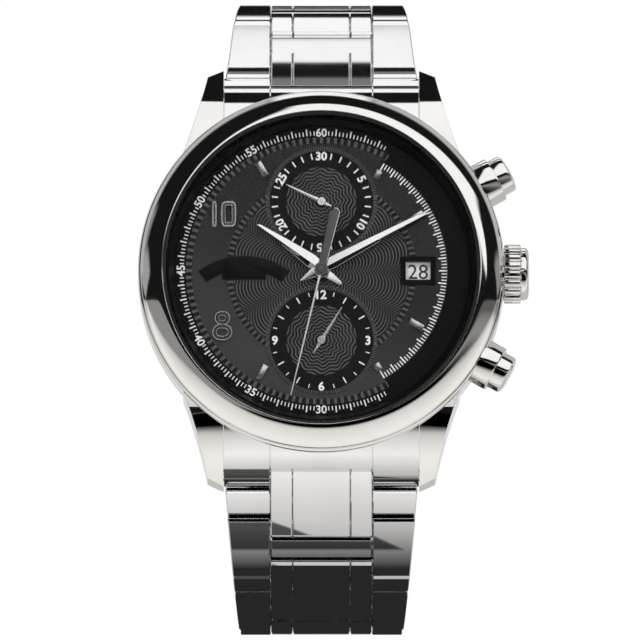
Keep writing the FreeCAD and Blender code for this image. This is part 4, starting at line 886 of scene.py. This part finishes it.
def plaque():
    """A bare plaque like an arched ribbon: two arcs of 8.5 and 6.9 mm about one centre, with a straight foot,
    and a fine raised rim along its outline."""
    middle, foot, half_foot, reach = (-8.69, -6.81), -1.05, 2.5, 37.4
    far_radius, near_radius = 8.5, 6.9
    far = arc(*middle, far_radius, 90 + reach, 90 - reach, 40)
    stop = math.degrees(math.asin(half_foot / near_radius))
    near_right = arc(*middle, near_radius, 90 - reach, 90 - stop, 14)
    near_left = arc(*middle, near_radius, 90 + stop, 90 + reach, 14)
    straight = [[middle[0] + half_foot, foot], [middle[0] - half_foot, foot]]
    loop = soften(np.concatenate([far, near_right, straight, near_left]), 0.1)
    ribbon = slab(loop, DIAL_LEVEL, DIAL_LEVEL + 0.12, 0.03)
    plate = piece("arched_plaque", ribbon, "root", flange_black, "dial_black", 30)
    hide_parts("dial_plaque")
    edge = inset(loop, 0.04)
    rim = band_along(edge, inset(edge, 0.05), DIAL_LEVEL + 0.1, DIAL_LEVEL + 0.15)
    piece("arched_plaque_rim", rim, "root", dial_black, "dial_black", 30)


def date_window():
    """Bevelled black frame round the date, and the thirty-one dates printed on the disc below."""
    outer = oblong(-1.95, 1.95, -1.6, 1.6) + (DATE_X, 0)
    inner = oblong(-1.45, 1.45, -1.05, 1.05) + (DATE_X, 0)
    profile = ((0, 0), (0, 0.2), (0.12, 0.27), (0.45, 0.25), (1, 0.02), (1, -0.02))
    bevels = hoop([(outer + (inner - outer) * share, DIAL_LEVEL + lift) for share, lift in profile])
    border = piece("date_window_frame", bevels, "root", flange_black, "frame_black", 20)
    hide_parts("date_frame")
    high = levels("date_disc")[1]
    parts = []
    for day in range(1, 32):
        degrees = 90 + (day - 28) * 360 / 31
        parts.append(figure(str(day), degrees, DATE_X, 1.65, high[2] + 0.005, degrees - 90, weight=0.0))
    piece("date_figures", join(parts), "date_disc", black_ink, "frame_black", 30, False)


engraving()
counter_floors()
scales()
applied_hours()
plaque()
date_window()


# ---- hands ----
BLADE = 0.1
SECONDS_ANGLE = 193.4


def ridged(stations, level, ridge, edge=0.05):
    """A hand with two facets: across each station (y, left, right) the section rises from both edges to a ridge
    on the hand's own line, as height = level + BLADE + ridge * min(1, width), and stays almost flat behind the
    pivot, with 0.02 in place of the width."""
    rings = []
    for y, left, right in stations:
        top = level + BLADE
        peak = top + ridge * (min(1.0, left + right) if y > 0 else 0.02)
        line = [(-left, level), (-left, top - 0.03), (-left + min(edge, left / 3), top), (0.0, peak),
                (right - min(edge, right / 3), top), (right, top - 0.03), (right, level)]
        rings.append([(x, y, z) for x, z in line])
    return capped(rings)


def inlay(stations, side, level, ridge):
    """Painted shade on one facet: a dark sheet on the facet's own slope, narrowed by a rim of 0.07 mm and raised by
    0.012 mm.
    """
    rim, raised = 0.07, 0.012
    upper, lower = [], []
    for y, left, right in stations:
        width = left if side < 0 else right
        peak = ridge * min(1.0, left + right)
        for share, line in ((0.0, upper), (max(0.0, 1 - rim / width), lower)):
            line.append((side * (rim * 0.3 + share * (width - rim * 0.3)), y,
                         level + BLADE + raised + peak * (1 - share)))
    loop = np.array(upper + lower[::-1])
    count = len(loop)
    points = np.concatenate([loop - (0, 0, 0.02), loop])
    faces = [list(f) for f in quads(2, count, False, True)]
    half = count // 2
    for i in range(half - 1):
        far = 2 * half - 1 - i
        faces += [[i, i + 1, far - 1, far][::-1], [count + i, count + i + 1, count + far - 1, count + far]]
    return points, faces


def disc(radius, low, high, edge=0.06, hole=0.0):
    """A small turned boss with a rounded rim."""
    line = [(hole, low), (radius, low), (radius, high - edge), (radius - 0.3 * edge, high - 0.3 * edge),
            (radius - edge, high), (hole, high)]
    return turned(line, 48, hole > 0)


def leaf_hands():
    """Hour and minute hand: a leaf with one bright facet and painted shade on the other, a dark sheet over part of
    that facet, and a short flat tail.
    """
    hour = [(-2.8, 0.05, 0.05), (-2.6, 0.2, 0.22), (-1.0, 0.4, 0.5), (0.6, 0.5, 0.9), (1.5, 0.6, 0.98),
            (5.3, 0.24, 0.64), (5.5, 0.05, 0.6), (8.6, 0.03, 0.24), (8.9, 0.02, 0.06)]
    minute = [(-2.7, 0.03, 0.03), (-1.0, 0.66, 0.44), (0.6, 0.8, 0.5), (1.5, 0.82, 0.55), (7.3, 0.64, 0.26),
              (7.5, 0.62, 0.05), (12.2, 0.46, 0.05), (13.9, 0.05, 0.03)]
    for name, stations, shaded_stretch, degrees, side, slope, hub in (
            ("hour_hand", hour, hour[4:6], 305.6, -1, 0.14, 0.95),
            ("minute_hand", minute, minute[3:5], 61.9, 1, 0.1, 0.85)):
        low, high = levels(name)
        level = high[2] - 0.26
        shape = join([ridged(stations, level, slope), disc(hub, low[2], level + 0.14)])
        blade = piece(name + "_blade", aimed(shape, degrees), name, hand_steel, "hand_steel", 8, False)
        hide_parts(name)
        # painted shade: a dark sheet over part of one facet
        shape = inlay(shaded_stretch, side, level, slope)
        piece(name + "_inlay", aimed(shape, degrees), name, deep_black, "dial_black", 20, False)


def seconds_hand():
    """Chronograph seconds hand: a thin needle, a broad grey tail with a bright rim down one side, and a boss."""
    low, high = levels("seconds_hand")
    level = high[2] - 0.3

    def part(name, shape, material, slot, sharp):
        shape = aimed(shape, SECONDS_ANGLE)
        return piece("seconds_hand_" + name, shape, "seconds_hand", material, slot, sharp, False)

    thin = [(-1.2, 0.2, 0.2), (0.0, 0.18, 0.18), (2.0, 0.13, 0.13), (14.8, 0.08, 0.08)]
    shape = join([ridged(thin, level, 0.01, 0.02), disc(0.5, low[2], level + 0.1, 0.05)])
    needle = part("blade", shape, hand_steel, "hand_steel", 15)
    tail = soften([(-0.4, -0.7), (0.4, -0.7), (0.54, -6.55), (0.0, -7.05), (-0.5, -6.85)], 0.06)
    shape = join([slab(tail, level, level + 0.16, 0.03), disc(0.74, level + 0.02, level + 0.24, 0.08),
                  disc(0.2, level, level + 0.29, 0.05)])
    part("tail", shape, satin_hand, "seconds_grey", 25)
    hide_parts("seconds_hand")
    inside = np.array([(-0.36, -0.8), (-0.46, -6.8), (0.0, -7.1), (0.2, -6.95)])
    outside = inside - [(0.08, 0), (0.09, 0.02), (0.02, 0.09), (-0.04, 0.07)]
    rim = [upright(line, level + z) for line, z in ((outside, 0.02), (outside, 0.17), (inside, 0.17), (inside, 0.02))]
    part("rim", capped(np.stack(rim, 1)), hand_steel, "hand_steel", 15)
    part("boss", disc(0.5, level + 0.22, level + 0.27, 0.03, hole=0.42), rubber, "dial_black", 25)


def counter_hands():
    """A pointer with a boss in each counter."""
    for name, y, angle, length, back, finish in (
            ("minute_counter_hand", SUBDIAL_Y, 296.0, 4.4, 1.3, hand_steel),
            ("hour_counter_hand", -SUBDIAL_Y, 31.5, 4.5, 1.75, trim_steel)):
        low, high = levels(name)
        level = high[2] - 0.2
        leaf = [(-back, 0.05, 0.05), (-0.4, 0.22, 0.22), (0.5, 0.24, 0.24), (1.0, 0.2, 0.2),
                (length - 0.25, 0.08, 0.08), (length, 0.03, 0.03)]
        shape = join([ridged(leaf, level, 0.02), disc(0.48, low[2], level + 0.17, 0.05),
                      disc(0.16, level, level + 0.2, 0.03)])
        pointer = piece(name + "_leaf", aimed(shape, angle, y), name, finish, "hand_steel", 15, False)
        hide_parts(name)


leaf_hands()
seconds_hand()
counter_hands()

# ---- stage, light and camera ----
# (fold from, to), (side from, to), strength, softness of the fold's edges, with all angles in degrees
STUDIO_WINDOWS = (
    ((12, 72), (-8, 54), 1.0, 1.0),
    ((9.5, 14), (-3, 9), 1.0, 0.2),
    ((97, 107.2), (-13, 13), 1.0, 0.4),
    ((106, 111), (-13, 13), 0.19, 0.5),
    ((117.5, 142.5), (-13, 13), 1.0, 0.5),
    ((160, 200), (-60, 60), 0.7, 4.0),
    ((98, 200), (-82, -13), 0.5, 3.0),
    ((98, 200), (13, 82), 0.5, 3.0),
    ((30, 125), (-90, -73), 0.36, 4.0),
    ((45, 125), (75, 90), 0.26, 3.0),
    ((84, 125), (-90, -60), 0.26, 5.0),
    ((-190, -60), (-90, 90), 0.5, 5.0),
)
STUDIO_DARK = 0.007
SIDE_SOFTNESS = 2.0
TILT = math.radians(10)


def world():
    """White to the eye, soft grey to the floor and, to polished metal, a dark studio with strip windows.
    Metal sees by fold = angle from the front horizon over the top, and side = angle from the middle plane."""
    studio = bpy.data.worlds.new("studio")
    bpy.context.scene.world = studio
    w = Nodes(studio)

    def between(value, ends, soft):
        rise, fall = (w.span(value, at - soft, at + soft, smooth=False) for at in ends)
        return w.product(rise, w.but(fall))

    x, y, z = w.node("ShaderNodeSeparateXYZ", {0: w.node("ShaderNodeTexCoord").outputs["Generated"]}).outputs
    fold = w.product(w.math("ARCTAN2", z, w.product(y, -1.0)), 180 / math.pi)
    side = w.product(w.math("ARCSINE", x), 180 / math.pi)
    lit = STUDIO_DARK
    for folds, sides, strength, soft in STUDIO_WINDOWS:
        window = w.product(between(fold, folds, soft), between(side, sides, SIDE_SOFTNESS), strength)
        lit = w.math("MAXIMUM", lit, window)
    level = w.node("ShaderNodeMix", {0: w.ray("Glossy"), 2: 1.0, 3: lit}, data_type="FLOAT").outputs[0]
    level = w.node("ShaderNodeMix", {0: w.ray("Diffuse"), 2: level, 3: 0.8}, data_type="FLOAT").outputs[0]
    shine = w.node("ShaderNodeBackground", {"Color": (1, 1, 1, 1), "Strength": level})
    w.tree.links.new(shine.outputs[0], w.node("ShaderNodeOutputWorld").inputs[0])


def floor():
    """A pale board under the bracelet, clear from below. To metal it shows a painted glow in place of its lit colour:
    bright in front, falling off farther in front (darkest where the camera stands), to the right and straight
    behind the bracelet, with a painted slanted shade. Spans are in metres."""
    size = 3000.0
    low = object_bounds()[0].z * 1000 - 0.05
    corners = oblong(-size, size, -size, size)
    corners = np.column_stack([corners[:, 0], np.full(4, low), corners[:, 1]])
    mesh = bpy.data.meshes.new("floor")
    mesh.from_pydata(stand(corners).tolist(), [], [[0, 1, 2, 3]])
    board = placed("floor", mesh)
    f = Finish("pale_board")
    colour = f.blend(f.noise(60, detail=4), (0.86, 0.86, 0.85), (0.89, 0.89, 0.88))
    f.done(Base_Color=colour, Roughness=0.6, Specular_IOR_Level=0.2)
    x, y, z = f.node("ShaderNodeSeparateXYZ", {0: f.where}).outputs
    dark = f.product(f.span(x, -0.03, -0.022), f.span(x, 0.05, 0.15, 1.0, 0.0))
    far = f.scaled(dark, -0.55, 0.55)
    near = f.math("MAXIMUM", f.span(y, -0.06, -0.035), far)
    right = f.span(x, 0.12, 0.5, 1.0, 0.4)
    front = f.math("MINIMUM", f.span(y, -0.013, -0.001, 0.93, 0.55, False),
                   f.span(y, -0.045, -0.014, 0.5, 0.93, False))
    off = f.span(f.math("ABSOLUTE", x), 0.0115, 0.014)
    behind = f.math("MAXIMUM", f.span(y, 0.0005, 0.0058, 1.0, 0.04, False), off)
    slant = f.math("MINIMUM", f.scaled(x, -0.48, f.math("ADD", y, 0.0009)),
                   f.math("ADD", y, 0.0035))
    wedge = f.product(f.span(slant, -0.0002, 0.0002, 0.0, 0.86), f.span(y, 0.0034, 0.0038, 1.0, 0.0), f.but(off))
    # painted reflection: the board's glow as metal sees it, with painted dark zones and a painted slanted shade
    glow = f.product(near, right, front, behind, f.but(wedge))
    seen = f.node("ShaderNodeEmission", {"Color": (1.0, 0.985, 0.96, 1), "Strength": glow})
    mirrored = f.node("ShaderNodeMixShader", {0: f.ray("Glossy"), 1: f.shader.outputs[0], 2: seen.outputs[0]})
    clear = f.node("ShaderNodeBsdfTransparent")
    back = f.node("ShaderNodeNewGeometry").outputs["Backfacing"]
    both = f.node("ShaderNodeMixShader", {0: back, 1: mirrored.outputs[0], 2: clear.outputs[0]})
    f.tree.links.new(both.outputs[0], f.out.inputs[0])
    board.data.materials.append(f.material)
    if board.data.polygons[0].normal.z < 0:
        board.data.flip_normals()
    board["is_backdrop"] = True


def lamp(name, place, size, power):
    """A soft square lamp, aimed at the middle of the dial, that no mirror sees."""
    light = bpy.data.lights.new(name, "AREA")
    light.shape = "SQUARE"
    light.size = size
    light.energy = power
    obj = placed(name, light)
    obj.location = place
    toward = np.array((0, -DIAL_LEVEL / 1000, 0)) - np.array(place)
    obj.rotation_euler = Vector(toward).to_track_quat("-Z", "Y").to_euler()
    obj.visible_glossy = False
    obj.visible_transmission = False
    obj.visible_camera = False


def camera():
    """Long lens, ten degrees below the dial's axis, on the six o'clock side."""
    reach, width, drop = 2.0, 0.07183, 0.00552
    centre = np.array([-0.000157, -DIAL_LEVEL / 1000, 0.0])
    up = np.array([0, -math.sin(TILT), math.cos(TILT)])
    target = centre - up * drop
    lens = bpy.data.cameras.new("camera")
    lens.sensor_width = 36
    lens.lens = lens.sensor_width * reach / width
    lens.clip_end = 10
    obj = placed("camera", lens)
    obj.location = target + np.array([0, -math.cos(TILT), -math.sin(TILT)]) * reach
    obj.rotation_euler = (math.pi / 2 + TILT, 0, 0)
    bpy.context.scene.camera = obj


world()
floor()
lamp("key", (-0.25, -0.55, 0.5), 0.35, 2.2)
lamp("fill", (0.45, -0.4, 0.15), 0.4, 0.8)
camera()
view = bpy.context.scene.view_settings
view.view_transform = "Standard"
